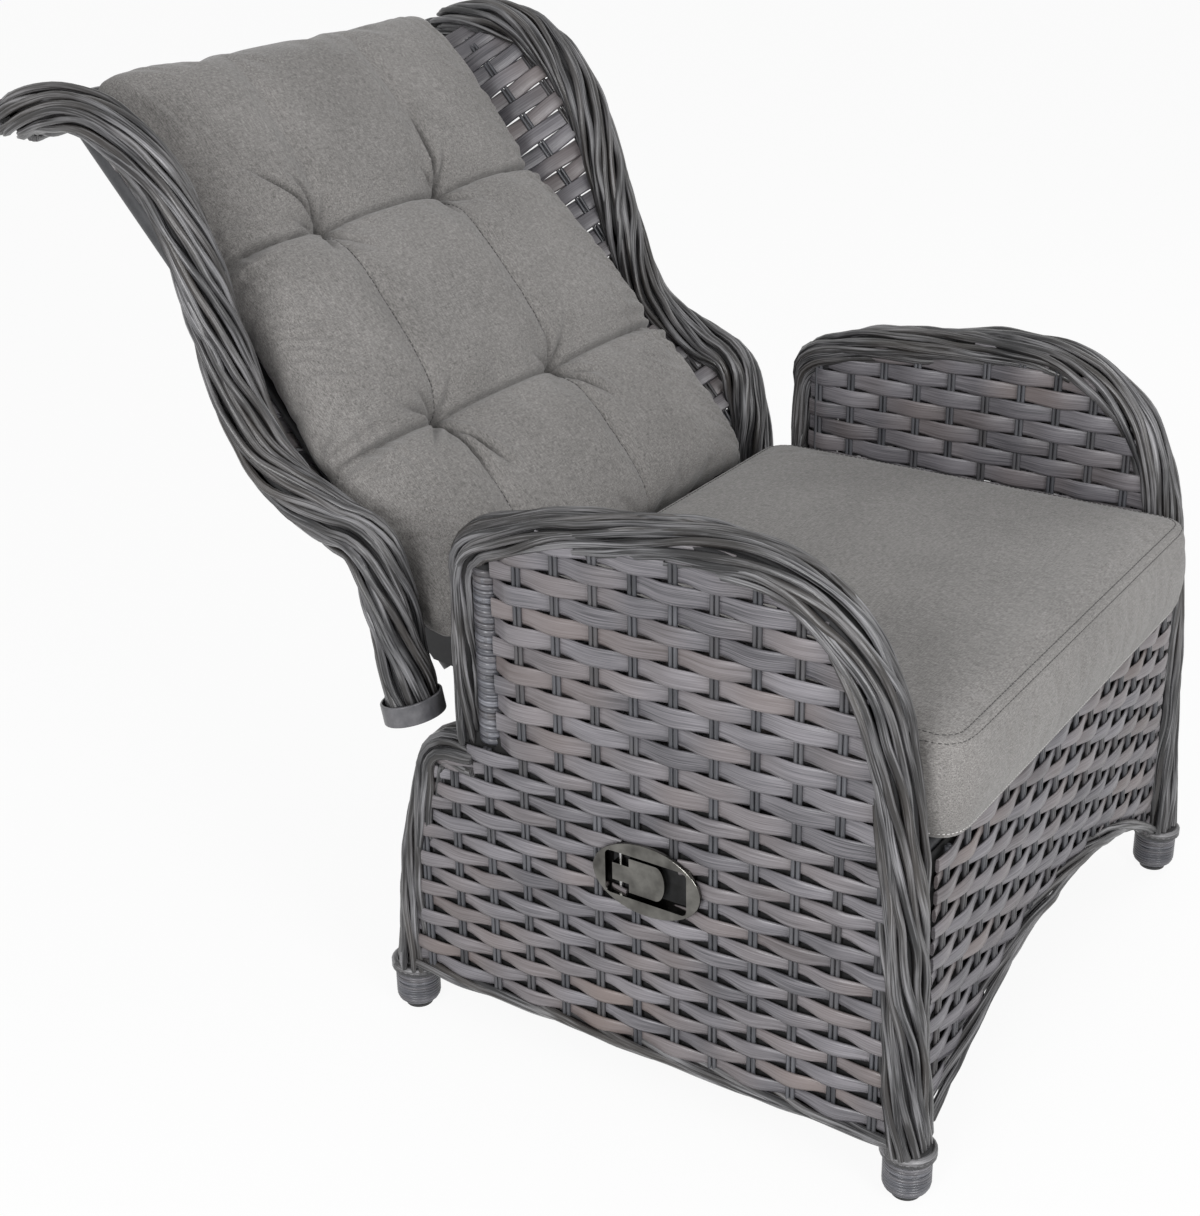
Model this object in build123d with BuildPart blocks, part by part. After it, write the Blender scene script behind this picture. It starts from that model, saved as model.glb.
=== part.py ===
from build123d import *
import math
import os

os.makedirs("parts", exist_ok=True)

# A reclining garden armchair: an aluminium tube frame under flat synthetic weave, thick rims
# of twisted strands, two cushions, and a back that a lockable gas spring holds.
# +Y points to the rear, +Z up, and the sitter's right is -X. Millimetres. The back stands
# where the chair is fully reclined but for a few degrees.
# Places in side view are (distance behind the front feet, height above the floor).

# Driving dimensions of the chair
arm_height = 587.0
arm_depth = 461.0
side_half = 330.0
foot_height = 55.0
foot_inset = 6.0
seat_height = 344.0
cushion_thickness = 100.0
recline_angle = 41.5
back_length = 686.0

# Where the back turns, and what keeps its distance from that pivot, the arms and the seat
pivot_behind_arm = 64.0
pivot_above_seat = 41.0
rear_foot_behind = 40.0
wing_outset = 12.0
pivot_reach = arm_depth + pivot_behind_arm
pivot_height = seat_height + pivot_above_seat
rear_foot_reach = pivot_reach + rear_foot_behind
wing_half = side_half + wing_outset

# Rims of strands, the tubes inside them and the woven skins
rim_wide = 60.0
rim_deep = 42.0
back_rim_wide = 62.0
back_rim_deep = 52.0
tube_size = 22.0
tube_wall = 1.8
weave_thickness = 8.0
outer_skin_inset = 4.0
lining_inset = 4.0
fit = 0.3
bend_share = 0.45
strand_count = 12
strand_valley = 3.6

# Relief of the outer skin: it draws in where its strips pass behind the stakes
stake_pitch = 43.0
stake_start = 38.0
stake_count = 12
course_tall = 39.0
course_count = 13
pocket_long = 18.0
pocket_tall = 32.0
pocket_deep = 3.6
pocket_round = 3.6
pocket_margin = 8.0
rim_sunk = 4.0
overrun = 60.0

# Feet
foot_size = 46.0
foot_round = 9.0
collar_size = 54.0
collar_tall = 12.0
collar_round = 4.0
glide_size = 28.0
glide_thickness = 3.0

# The shelf behind each arm and the post that stands on it
shelf_drop = 4.0
shelf_gap = 1.0
shelf_height = seat_height - shelf_drop
shelf_start = arm_depth + shelf_gap
rear_rim_lean_share = 0.42
post_size = 27.0
post_inset = 14.0
post_outset = 6.0
post_drop = 60.0
post_reach = arm_depth - post_inset
post_height = arm_height - post_drop

# Outlines in side view, as shares of arm depth and arm height
arm_rim_shares = [(0.035, 0.314), (0.065, 0.647), (0.087, 0.762), (0.130, 0.860),
                  (0.200, 0.934), (0.297, 0.983), (0.434, 1.000), (0.651, 0.986),
                  (0.911, 0.947)]
arm_corner_share = 0.903

# The S-shaped rim of the back in its own frame, as shares of the back's length:
# behind the back's plane, then along it from the pivot
back_rim_shares = [(0.044, -0.023), (0.017, 0.025), (-0.051, 0.140), (-0.068, 0.197),
                   (-0.042, 0.248), (0.000, 0.363), (-0.006, 0.417), (-0.061, 0.560),
                   (-0.117, 0.704), (-0.128, 0.773), (-0.118, 0.848), (-0.090, 0.907),
                   (-0.038, 0.956), (0.052, 1.000)]


# Frames that the pieces are drawn in
def bend_radii(points):
    # Each bend is as wide as its two runs allow
    radii = []
    for before, corner, after in zip(points, points[1:], points[2:]):
        run_in = Vector(*corner) - Vector(*before)
        run_out = Vector(*after) - Vector(*corner)
        half_turn = math.radians(run_in.get_angle(run_out)) / 2
        radii.append(bend_share * min(run_in.length, run_out.length) / math.tan(half_turn))
    return radii


def back_place(behind, along):
    # A place in the back's frame, as a place in side view
    lean = math.radians(recline_angle)
    reach = pivot_reach + behind * math.cos(lean) + along * math.sin(lean)
    height = pivot_height - behind * math.sin(lean) + along * math.cos(lean)
    return reach, height


front_reach = foot_inset - collar_size / 2
rear_reach, _ = back_place(back_length * back_rim_shares[-1][0] + back_rim_deep / 3,
                           back_length)
front_y = -(front_reach + rear_reach) / 2


def side_plane(x):
    return Plane(origin=(x, front_y, 0), x_dir=(0, 1, 0), z_dir=(1, 0, 0))


def front_plane(reach):
    return Plane(origin=(0, front_y + reach, 0), x_dir=(1, 0, 0), z_dir=(0, -1, 0))


def back_plane(x):
    lean = math.radians(recline_angle)
    return Plane(origin=(x, front_y + pivot_reach, pivot_height),
                 x_dir=(0, math.cos(lean), -math.sin(lean)), z_dir=(1, 0, 0))


def back_level(along):
    # Across the back at a distance from the pivot: x to the side, y behind the back
    base = back_plane(0)
    return Plane(origin=base.origin + base.y_dir * along, x_dir=(1, 0, 0), z_dir=base.y_dir)


def route_on(plane, points):
    with BuildLine(plane) as route:
        FilletPolyline(*points, radius=bend_radii(points))
    return route.line


def section_at(route, wide, deep):
    start = Plane(origin=route @ 0, x_dir=(1, 0, 0), z_dir=route % 0)
    with BuildSketch(start) as section:
        Ellipse(wide / 2, deep / 2)
    return section.sketch


def strands_at(route, wide, deep):
    # An oval of strands side by side: each bulges out to the oval, with valleys between them
    start = Plane(origin=route @ 0, x_dir=(1, 0, 0), z_dir=route % 0)
    spots = []
    for step in range(2 * strand_count):
        turn = math.pi * (step + 1) / strand_count
        sunk = strand_valley if step % 2 == 0 else 0.0
        spots.append(((wide / 2 - sunk) * math.cos(turn), (deep / 2 - sunk) * math.sin(turn)))
    with BuildSketch(start) as section:
        with BuildLine():
            for valley, crest, following in zip(spots[::2], spots[1::2],
                                                spots[2::2] + spots[:1]):
                ThreePointArc(valley, crest, following)
        make_face()
    return section.sketch


def ring_at(route, size, wall):
    start = Plane(origin=route @ 0, x_dir=(1, 0, 0), z_dir=route % 0)
    with BuildSketch(start) as section:
        Circle(size / 2)
        Circle(size / 2 - wall, mode=Mode.SUBTRACT)
    return section.sketch


def keep_largest(piece):
    # Drops the scraps that a cut leaves on the far side of a rim
    for scrap in piece.part.solids().sort_by(SortBy.VOLUME)[:-1]:
        add(scrap, mode=Mode.SUBTRACT)


sides = ((-1, "right"), (1, "left"))


# Seat frame: cross tubes, rails, and the plates that carry the hinges
front_tube_reach = 27.0
rear_tube_ahead = 5.0
rear_tube_drop = 100.0
rail_inset = 41.0
rail_ahead = 55.0
strap_wide = 40.0
strap_thick = 2.0
rear_tube_reach = pivot_reach - rear_tube_ahead
rear_tube_height = pivot_height - rear_tube_drop
rail_half = side_half - rail_inset
rail_end = pivot_reach - rail_ahead
rail_height = seat_height - strap_thick - tube_size / 2
plate_thickness = 4.8
hinge_eye = 17.0
pin_size = 10.0
# Outline of a hinge bracket: shares of the way from the rail's end to the pivot and from the
# rear cross tube's top to the pivot
bracket_shares = [(-0.73, 0.23), (-0.73, 0.47), (0.51, 0.47), (0.75, 1.09), (1.27, 1.05),
                  (1.16, 0.0), (0.65, 0.0), (0.51, 0.23)]
bracket_foot = rear_tube_height + tube_size / 2 + fit
bracket_points = [(rail_end + (pivot_reach - rail_end) * u,
                   bracket_foot + (pivot_height - bracket_foot) * v) for u, v in bracket_shares]

# Latch in the sitter's right side
latch_ahead = 197.0
latch_drop = 86.0
latch_reach = arm_depth - latch_ahead
latch_height = seat_height - latch_drop
housing_long = 92.0
housing_tall = 50.0
housing_corner = 8.0


# Front panel with its arch, rear panel and straps
apron_front = 3.0
apron_drop = 6.0
apron_top = seat_height - apron_drop
arch_height = 146.0
arch_rim_wide = 26.0
arch_rim_deep = 16.0
rear_panel_drop = 123.0
rear_panel_top = pivot_height - rear_panel_drop
strap_count = 9
first_strap_behind = 35.0
last_strap_ahead = 83.0
strap_front = front_tube_reach + first_strap_behind
strap_rear = pivot_reach - last_strap_ahead

# Frame of the back, in its own frame
back_tube_behind = 36.0
corner_tube_size = 24.0
corner_tube_start = 4.0
corner_tube_short = 31.0
corner_tube_end = back_length - corner_tube_short
cross_tube_size = 20.0
cross_tube_shares = (0.021, 0.50, 0.94)
back_weave_front = 17.4
back_weave_start = 8.0
back_weave_short = 38.0
back_weave_end = back_length - back_weave_short
wing_level_shares = (0.075, 0.140, 0.197, 0.248, 0.300, 0.363, 0.417, 0.490, 0.560, 0.630,
                     0.704, 0.773, 0.848, 0.907, 0.945)
top_rim_short = 6.0
top_rim_along = back_length - top_rim_short
top_rim_wide = 46.0
top_rim_deep = 34.0
cap_wall = 2.5
cap_below = 5.0
cap_above = 16.0

# Hinge plates, lever and pin of the back
# Outline of a hinge plate, as shares of the pivot's distance to the corner tube
hinge_plate_shares = [(-0.38, 0.20), (0.50, 1.36), (1.10, 1.36), (1.10, 0.50), (0.42, -0.22)]
lever_radius = 65.0
lever_rest_angle = 8.0
lever_far_angle = 12.0
lever_eye = 11.0
lug_half = 14.0
lug_gap_half = 9.0

# Gas spring under the seat
cylinder_size = 22.0
cylinder_wall = 2.0
cylinder_long = 192.0
cylinder_ahead = 28.0
cylinder_end = 12.0
cylinder_rear = pivot_reach - cylinder_ahead
cylinder_front = cylinder_rear - cylinder_long
eye_half = 8.0
eye_radius = 14.0
open_pivot_clearance = 1.2
rod_size = 8.0
rod_out = 128.7
rod_in = 125.0
piston_length = 14.0
rod_front = cylinder_front - rod_out
rod_rear = cylinder_front + rod_in
head_long = 28.0
head_front = rod_front - fit - head_long
head_half = 18.0
head_rise = 14.0
head_bore = 10.0
head_bore_depth = 8.0
mount_arm_thick = 3.0
mount_arm_tall = 22.0
mount_pin_behind = 12.0
mount_pin_reach = head_front + mount_pin_behind
mount_pin_size = 6.0

# Release lever in front of the gas spring's head
release_pivot_rise = 13.0
release_pivot_size = 4.0
release_lever_thick = 4.0
release_lever_half = 5.0
release_lever_drop = 34.0
release_nose = 5.0
release_nose_out = 7.0
release_gap = 6.0
ear_thick = 3.0
cable_stop_size = 12.0
cable_stop_long = 10.0
cable_size = 5.0
cable_lead = 34.0
# Bends of the cable, as shares of the way from the cup to the stop: across, to the rear, up
cable_shares = [(0.000, -0.311, 0.000), (0.060, -0.610, 0.096), (0.179, -0.759, 0.240),
                (0.339, -0.774, 0.408), (0.500, -0.684, 0.575), (0.649, -0.490, 0.743),
                (0.774, -0.207, 0.863), (0.875, 0.137, 0.959), (0.952, 0.480, 1.007)]

# Latch: bezel, cup, paddle and pin
bezel_long = 115.0
bezel_tall = 73.0
bezel_thick = 3.5
bezel_round = 1.2
cup_wall = 2.5
cup_depth = 30.0
paddle_pivot_behind = 33.0
paddle_pivot_sunk = 7.0
paddle_barrel = 8.0
paddle_body_long = 38.0
paddle_body_tall = 36.0
paddle_tab_tall = 18.0
paddle_reach = 52.0
paddle_thick = 4.0
paddle_arm = 12.0
paddle_arm_tall = 8.0
latch_pin_size = 4.0

# Seat cushion
cushion_front = -5.0
cushion_short = 32.0
cushion_rear = pivot_reach - cushion_short
cushion_lift = 0.6
cushion_crown = 8.0
cushion_bulge = 5.0
cushion_corner = 16.0
# Stations across the cushion, as shares of its half width, with the size of each section
seat_station_shares = ((-1.0, 0.86), (-0.975, 0.96), (-0.85, 1.0), (0.0, 1.0), (0.85, 1.0),
                       (0.975, 0.96), (1.0, 0.86))

# Back cushion, in the back's frame: three columns and three rows, drawn in at four tufts
back_cushion_rear = 16.8
back_cushion_inset = 39.0
back_cushion_start = 46.0
back_cushion_short = 14.0
back_cushion_depth = 78.0
column_crease_share = 0.392
back_cushion_half = rail_half - back_cushion_inset
back_cushion_end = back_length - back_cushion_short
column_crease = back_cushion_half * column_crease_share
# Levels along the cushion, as shares of its length, each with the crown, the column
# crease and the side edge as shares of its depth, and the width as a share of its own
back_cushion_levels_shares = (
    (0.000, 0.30, 0.24, 0.28, 0.95), (0.020, 0.62, 0.46, 0.50, 0.99),
    (0.090, 0.90, 0.66, 0.62, 1.00), (0.190, 0.95, 0.62, 0.62, 1.00),
    (0.270, 0.78, 0.36, 0.56, 0.99), (0.303, 0.60, 0.14, 0.50, 0.98),
    (0.340, 0.78, 0.36, 0.56, 0.99), (0.490, 1.00, 0.66, 0.62, 1.00),
    (0.640, 0.78, 0.36, 0.56, 0.99), (0.674, 0.60, 0.14, 0.50, 0.98),
    (0.712, 0.78, 0.36, 0.56, 0.99), (0.830, 0.92, 0.64, 0.60, 1.00),
    (0.940, 0.80, 0.60, 0.54, 0.99), (0.985, 0.56, 0.42, 0.40, 0.97),
    (1.000, 0.30, 0.24, 0.24, 0.95))

# Routes in side view
foot_top = Plane.XY.offset(foot_height + fit)
arm_points = [(foot_inset, foot_height - rim_sunk)]
arm_points += [(arm_depth * u, arm_height * v) for u, v in arm_rim_shares]
arm_points += [(arm_depth, arm_height * arm_corner_share), (arm_depth, shelf_height + fit)]
arm_tube_points = arm_points[:-2]

rear_rim_centre = shelf_height - rim_deep / 2
shelf_corner = pivot_reach - rim_deep / 2
rear_points = [(shelf_start, rear_rim_centre), (shelf_corner, rear_rim_centre),
               (shelf_corner + rim_deep * rear_rim_lean_share, rear_rim_centre - rim_deep),
               (rear_foot_reach - foot_inset, foot_height - rim_sunk)]

back_rim_points = [(back_length * u, back_length * v) for u, v in back_rim_shares]

notch_front = post_reach - post_size / 2 - fit
notch_rear = post_reach + post_size / 2 + fit

# Lower edge of each side
edge_rim_wide = 40.0
edge_rim_deep = 20.0
edge_rim_outset = 8.0
lining_drop = 44.0
lining_foot = seat_height - lining_drop

for side, side_name in sides:
    arm_route = route_on(side_plane(side * side_half), arm_points)
    arm_tube_route = route_on(side_plane(side * side_half), arm_tube_points)
    rear_route = route_on(side_plane(side * side_half), rear_points)

    # Room that other pieces leave around the rims and the post
    with BuildPart() as arm_room:
        sweep(section_at(arm_route, rim_wide + 2 * fit, rim_deep + 2 * fit), path=arm_route)
    with BuildPart() as rear_room:
        sweep(section_at(rear_route, rim_wide + 2 * fit, rim_deep + 2 * fit), path=rear_route)
    with BuildPart() as tube_room:
        sweep(section_at(arm_tube_route, tube_size + 2 * fit, tube_size + 2 * fit),
              path=arm_tube_route)
    with BuildPart() as notch:
        with BuildSketch(side_plane(side * side_half)):
            with Locations(((notch_front + notch_rear) / 2, (shelf_height + post_height) / 2)):
                Rectangle(notch_rear - notch_front, post_height - shelf_height + 2 * fit)
        extrude(amount=overrun, both=True)

    # Arm rim: from the front foot over the arm and down to the shelf
    with BuildPart() as arm_rim:
        sweep(strands_at(arm_route, rim_wide, rim_deep), path=arm_route)
        add(tube_room.part, mode=Mode.SUBTRACT)
        add(notch.part, mode=Mode.SUBTRACT)
        split(bisect_by=foot_top, keep=Keep.TOP)
    arm_rim.part.label = f"arm_rim_{side_name}"
    export_step(arm_rim.part, f"parts/arm_rim_{side_name}.step")

    # Frame tube inside the arm rim
    with BuildPart() as arm_tube:
        sweep(ring_at(arm_tube_route, tube_size, tube_wall), path=arm_tube_route)
        split(bisect_by=foot_top, keep=Keep.TOP)
    arm_tube.part.label = f"arm_tube_{side_name}"
    export_step(arm_tube.part, f"parts/arm_tube_{side_name}.step")

    # Rear rim: the shelf behind the arm, then down to the rear foot
    with BuildPart() as rear_rim:
        sweep(strands_at(rear_route, rim_wide, rim_deep), path=rear_route)
        split(bisect_by=foot_top, keep=Keep.TOP)
    rear_rim.part.label = f"rear_rim_{side_name}"
    export_step(rear_rim.part, f"parts/rear_rim_{side_name}.step")

    # Wrapped post between the shelf and the arm's rear corner
    with BuildPart() as arm_post:
        with BuildSketch(Plane.XY.offset(shelf_height + 2 * fit)):
            with Locations((side * (side_half + post_outset), front_y + post_reach)):
                Circle(post_size / 2)
        extrude(amount=post_height - shelf_height - 2 * fit)
    arm_post.part.label = f"arm_post_{side_name}"
    export_step(arm_post.part, f"parts/arm_post_{side_name}.step")

    # Bundle along the lower edge
    edge_x = side * (side_half + edge_rim_outset)
    edge_z = foot_height + edge_rim_deep / 2
    with BuildPart() as edge_rim:
        with BuildSketch(front_plane(rear_foot_reach / 2)):
            with Locations((edge_x, edge_z)):
                Ellipse(edge_rim_wide / 2, edge_rim_deep / 2)
        extrude(amount=rear_foot_reach / 2 - foot_inset, both=True)
        add(arm_room.part, mode=Mode.SUBTRACT)
        add(rear_room.part, mode=Mode.SUBTRACT)
        keep_largest(edge_rim)
    edge_rim.part.label = f"edge_rim_{side_name}"
    export_step(edge_rim.part, f"parts/edge_rim_{side_name}.step")

    with BuildPart() as edge_room:
        with BuildSketch(front_plane(rear_foot_reach / 2)):
            with Locations((edge_x, edge_z)):
                Ellipse(edge_rim_wide / 2 + fit, edge_rim_deep / 2 + fit)
        extrude(amount=rear_foot_reach / 2, both=True)

    # Outer woven skin, from the lower edge to the arm's rim
    skin_x = side * (side_half + rim_wide / 2 - outer_skin_inset)
    pocket_places = []
    for stake in range(stake_count):
        for course in range(stake % 2, course_count, 2):
            reach = stake_start + stake * stake_pitch
            level = foot_height + edge_rim_deep + (course + 1 / 2) * course_tall
            beside_latch = (abs(reach - latch_reach) < bezel_long / 2 + pocket_margin
                            and abs(level - latch_height) < bezel_tall / 2 + course_tall / 2)
            if not (side < 0 and beside_latch):
                pocket_places.append((reach, level))
    with BuildPart() as side_weave:
        with BuildSketch(side_plane(skin_x)):
            with BuildLine():
                FilletPolyline(*arm_points, radius=bend_radii(arm_points))
                Line(arm_points[-1], rear_points[0])
                FilletPolyline(*rear_points, radius=bend_radii(rear_points))
                Line(rear_points[-1], arm_points[0])
            make_face()
        extrude(amount=-side * weave_thickness)
        with BuildSketch(side_plane(skin_x)):
            with Locations(*pocket_places):
                RectangleRounded(pocket_long, pocket_tall, pocket_round)
        extrude(amount=-side * pocket_deep, mode=Mode.SUBTRACT)
        add(arm_room.part, mode=Mode.SUBTRACT)
        add(rear_room.part, mode=Mode.SUBTRACT)
        add(notch.part, mode=Mode.SUBTRACT)
        add(edge_room.part, mode=Mode.SUBTRACT)
        if side < 0:
            with BuildSketch(side_plane(skin_x)):
                with Locations((latch_reach, latch_height)):
                    RectangleRounded(housing_long + 2 * fit, housing_tall + 2 * fit,
                                     housing_corner)
            extrude(amount=overrun, both=True, mode=Mode.SUBTRACT)
        keep_largest(side_weave)
    side_weave.part.label = f"side_weave_{side_name}"
    export_step(side_weave.part, f"parts/side_weave_{side_name}.step")

    # Inner woven lining of the arm, down to below the seat
    lining_x = side * (side_half - rim_wide / 2 + lining_inset)
    with BuildPart() as arm_lining:
        with BuildSketch(side_plane(lining_x)):
            with BuildLine():
                FilletPolyline(*arm_points, radius=bend_radii(arm_points))
                Line(arm_points[-1], arm_points[0])
            make_face()
            with Locations((arm_depth / 2, lining_foot - arm_height / 2)):
                Rectangle(2 * arm_depth, arm_height, mode=Mode.SUBTRACT)
        extrude(amount=side * weave_thickness)
        add(arm_room.part, mode=Mode.SUBTRACT)
        add(notch.part, mode=Mode.SUBTRACT)
        keep_largest(arm_lining)
    arm_lining.part.label = f"arm_lining_{side_name}"
    export_step(arm_lining.part, f"parts/arm_lining_{side_name}.step")

    # Wrapped feet under both rims, with a collar of strands and a glide below
    for reach, place in ((foot_inset, "front"), (rear_foot_reach, "rear")):
        centre = (side * side_half, front_y + reach)
        with BuildPart() as foot:
            with BuildSketch(Plane.XY.offset(glide_thickness)):
                with Locations(centre):
                    Circle(foot_size / 2)
            extrude(amount=foot_height - glide_thickness)
            fillet(foot.edges().group_by(Axis.Z)[0], radius=foot_round)
            with BuildSketch(Plane.XY.offset(foot_height - collar_tall)):
                with Locations(centre):
                    Circle(collar_size / 2)
            extrude(amount=collar_tall)
            fillet(foot.edges().group_by(Axis.Z)[-1], radius=collar_round)
        foot.part.label = f"foot_{place}_{side_name}"
        export_step(foot.part, f"parts/foot_{place}_{side_name}.step")

    # Seat rail along the inside of the arm
    with BuildPart() as seat_rail:
        with BuildSketch(front_plane(front_tube_reach + tube_size / 2 + fit)):
            with Locations((side * rail_half, rail_height)):
                Circle(tube_size / 2)
                Circle(tube_size / 2 - tube_wall, mode=Mode.SUBTRACT)
        extrude(amount=-(rail_end - front_tube_reach))
    seat_rail.part.label = f"seat_rail_{side_name}"
    export_step(seat_rail.part, f"parts/seat_rail_{side_name}.step")

    # Hinge bracket: from the rail and the rear cross tube up to the pivot
    bracket_x = side * (rail_half - tube_size / 2 - fit)
    with BuildPart() as hinge_bracket:
        with BuildSketch(side_plane(bracket_x)):
            with BuildLine():
                Polyline(*bracket_points, close=True)
            make_face()
            with Locations((pivot_reach, pivot_height)):
                Circle(hinge_eye)
                Circle(pin_size / 2 + fit, mode=Mode.SUBTRACT)
        extrude(amount=-side * plate_thickness)
    hinge_bracket.part.label = f"hinge_bracket_{side_name}"
    export_step(hinge_bracket.part, f"parts/hinge_bracket_{side_name}.step")

# Front panel: a woven apron with an arch along its lower edge
foot_half = side_half - rim_wide / 2
with BuildPart() as rim_rooms:
    for side, _ in sides:
        room_route = route_on(side_plane(side * side_half), arm_points)
        sweep(section_at(room_route, rim_wide + 2 * fit, rim_deep + 2 * fit), path=room_route)
apron_centre = apron_front + weave_thickness / 2
with BuildLine(front_plane(apron_centre)) as arch_line:
    ThreePointArc((-foot_half, foot_height + arch_rim_deep / 2),
                  (0, arch_height + arch_rim_deep / 2),
                  (foot_half, foot_height + arch_rim_deep / 2))
arch_route = arch_line.line
arch_start = Plane(origin=arch_route @ 0, x_dir=(0, 1, 0), z_dir=arch_route % 0)
with BuildPart() as arch_rim:
    with BuildSketch(arch_start):
        Ellipse(arch_rim_wide / 2, arch_rim_deep / 2)
    sweep(path=arch_route)
    add(rim_rooms.part, mode=Mode.SUBTRACT)
arch_rim.part.label = "arch_rim"
export_step(arch_rim.part, "parts/arch_rim.step")

with BuildPart() as arch_room:
    with BuildSketch(arch_start):
        Ellipse(arch_rim_wide / 2 + fit, arch_rim_deep / 2 + fit)
    sweep(path=arch_route)
with BuildPart() as apron_weave:
    with BuildSketch(front_plane(apron_front)):
        with BuildLine():
            ThreePointArc((-foot_half, foot_height + arch_rim_deep / 2),
                          (0, arch_height + arch_rim_deep / 2),
                          (foot_half, foot_height + arch_rim_deep / 2))
            Polyline((foot_half, foot_height + arch_rim_deep / 2), (foot_half, apron_top),
                     (-foot_half, apron_top), (-foot_half, foot_height + arch_rim_deep / 2))
        make_face()
    extrude(amount=-weave_thickness)
    add(arch_room.part, mode=Mode.SUBTRACT)
    add(rim_rooms.part, mode=Mode.SUBTRACT)
apron_weave.part.label = "apron_weave"
export_step(apron_weave.part, "parts/apron_weave.step")

# Rear panel between the rear rims, leaning with them
rear_top = Vector(*rear_points[2])
rear_low = Vector(*rear_points[3])
rear_along = (rear_low - rear_top).normalized()
rear_across = Vector(rear_along.Y, -rear_along.X)
panel_start = rear_top + rear_along * ((rear_top.Y - rear_panel_top) / -rear_along.Y)
panel_end = rear_low
panel_corners = [panel_start + rear_across * (weave_thickness / 2),
                 panel_end + rear_across * (weave_thickness / 2),
                 panel_end - rear_across * (weave_thickness / 2),
                 panel_start - rear_across * (weave_thickness / 2)]
with BuildPart() as rear_weave:
    with BuildSketch(side_plane(0)):
        with BuildLine():
            Polyline(*[(corner.X, corner.Y) for corner in panel_corners], close=True)
        make_face()
    extrude(amount=foot_half - fit, both=True)
rear_weave.part.label = "rear_weave"
export_step(rear_weave.part, "parts/rear_weave.step")

# Cross tubes of the seat frame
for tube_name, reach, height in (("front_cross_tube", front_tube_reach, rail_height),
                                 ("rear_cross_tube", rear_tube_reach, rear_tube_height)):
    with BuildPart() as base_tube:
        with BuildSketch(side_plane(0)):
            with Locations((reach, height)):
                Circle(tube_size / 2)
                Circle(tube_size / 2 - tube_wall, mode=Mode.SUBTRACT)
        extrude(amount=foot_half - fit, both=True)
    base_tube.part.label = tube_name
    export_step(base_tube.part, f"parts/{tube_name}.step")

# Seat straps across the rails
strap_step = (strap_rear - strap_front) / (strap_count - 1)
with BuildPart() as seat_straps:
    with BuildSketch(Plane.XY.offset(seat_height - strap_thick + fit)):
        for strap in range(strap_count):
            with Locations((0, front_y + strap_front + strap * strap_step)):
                Rectangle(2 * rail_half, strap_wide)
    extrude(amount=strap_thick)
seat_straps.part.label = "seat_straps"
export_step(seat_straps.part, "parts/seat_straps.step")

# Glides under the four feet
with BuildPart() as glides:
    with BuildSketch(Plane.XY):
        for side, _ in sides:
            with Locations((side * side_half, front_y + foot_inset),
                           (side * side_half, front_y + rear_foot_reach)):
                Circle(glide_size / 2)
    extrude(amount=glide_thickness - fit)
glides.part.label = "glides"
export_step(glides.part, "parts/glides.step")

# Hinge pins through the brackets and the back's plates
bracket_face = rail_half - tube_size / 2 - fit
plate_face = bracket_face - plate_thickness - fit
pin_inner = plate_face - plate_thickness - fit
with BuildPart() as hinge_pins:
    for side, _ in sides:
        with BuildSketch(side_plane(side * pin_inner)):
            with Locations((pivot_reach, pivot_height)):
                Circle(pin_size / 2)
        extrude(amount=side * (bracket_face - pin_inner))
        with BuildSketch(side_plane(side * pin_inner)):
            with Locations((pivot_reach, pivot_height)):
                Circle(pin_size * 3 / 4)
        extrude(amount=-side * plate_thickness)
        with BuildSketch(side_plane(side * (bracket_face + fit))):
            with Locations((pivot_reach, pivot_height)):
                Circle(pin_size * 3 / 4)
        extrude(amount=side * plate_thickness)
        with BuildSketch(side_plane(side * bracket_face)):
            with Locations((pivot_reach, pivot_height)):
                Circle(pin_size / 2)
        extrude(amount=side * fit)
hinge_pins.part.label = "hinge_pins"
export_step(hinge_pins.part, "parts/hinge_pins.step")

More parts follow.
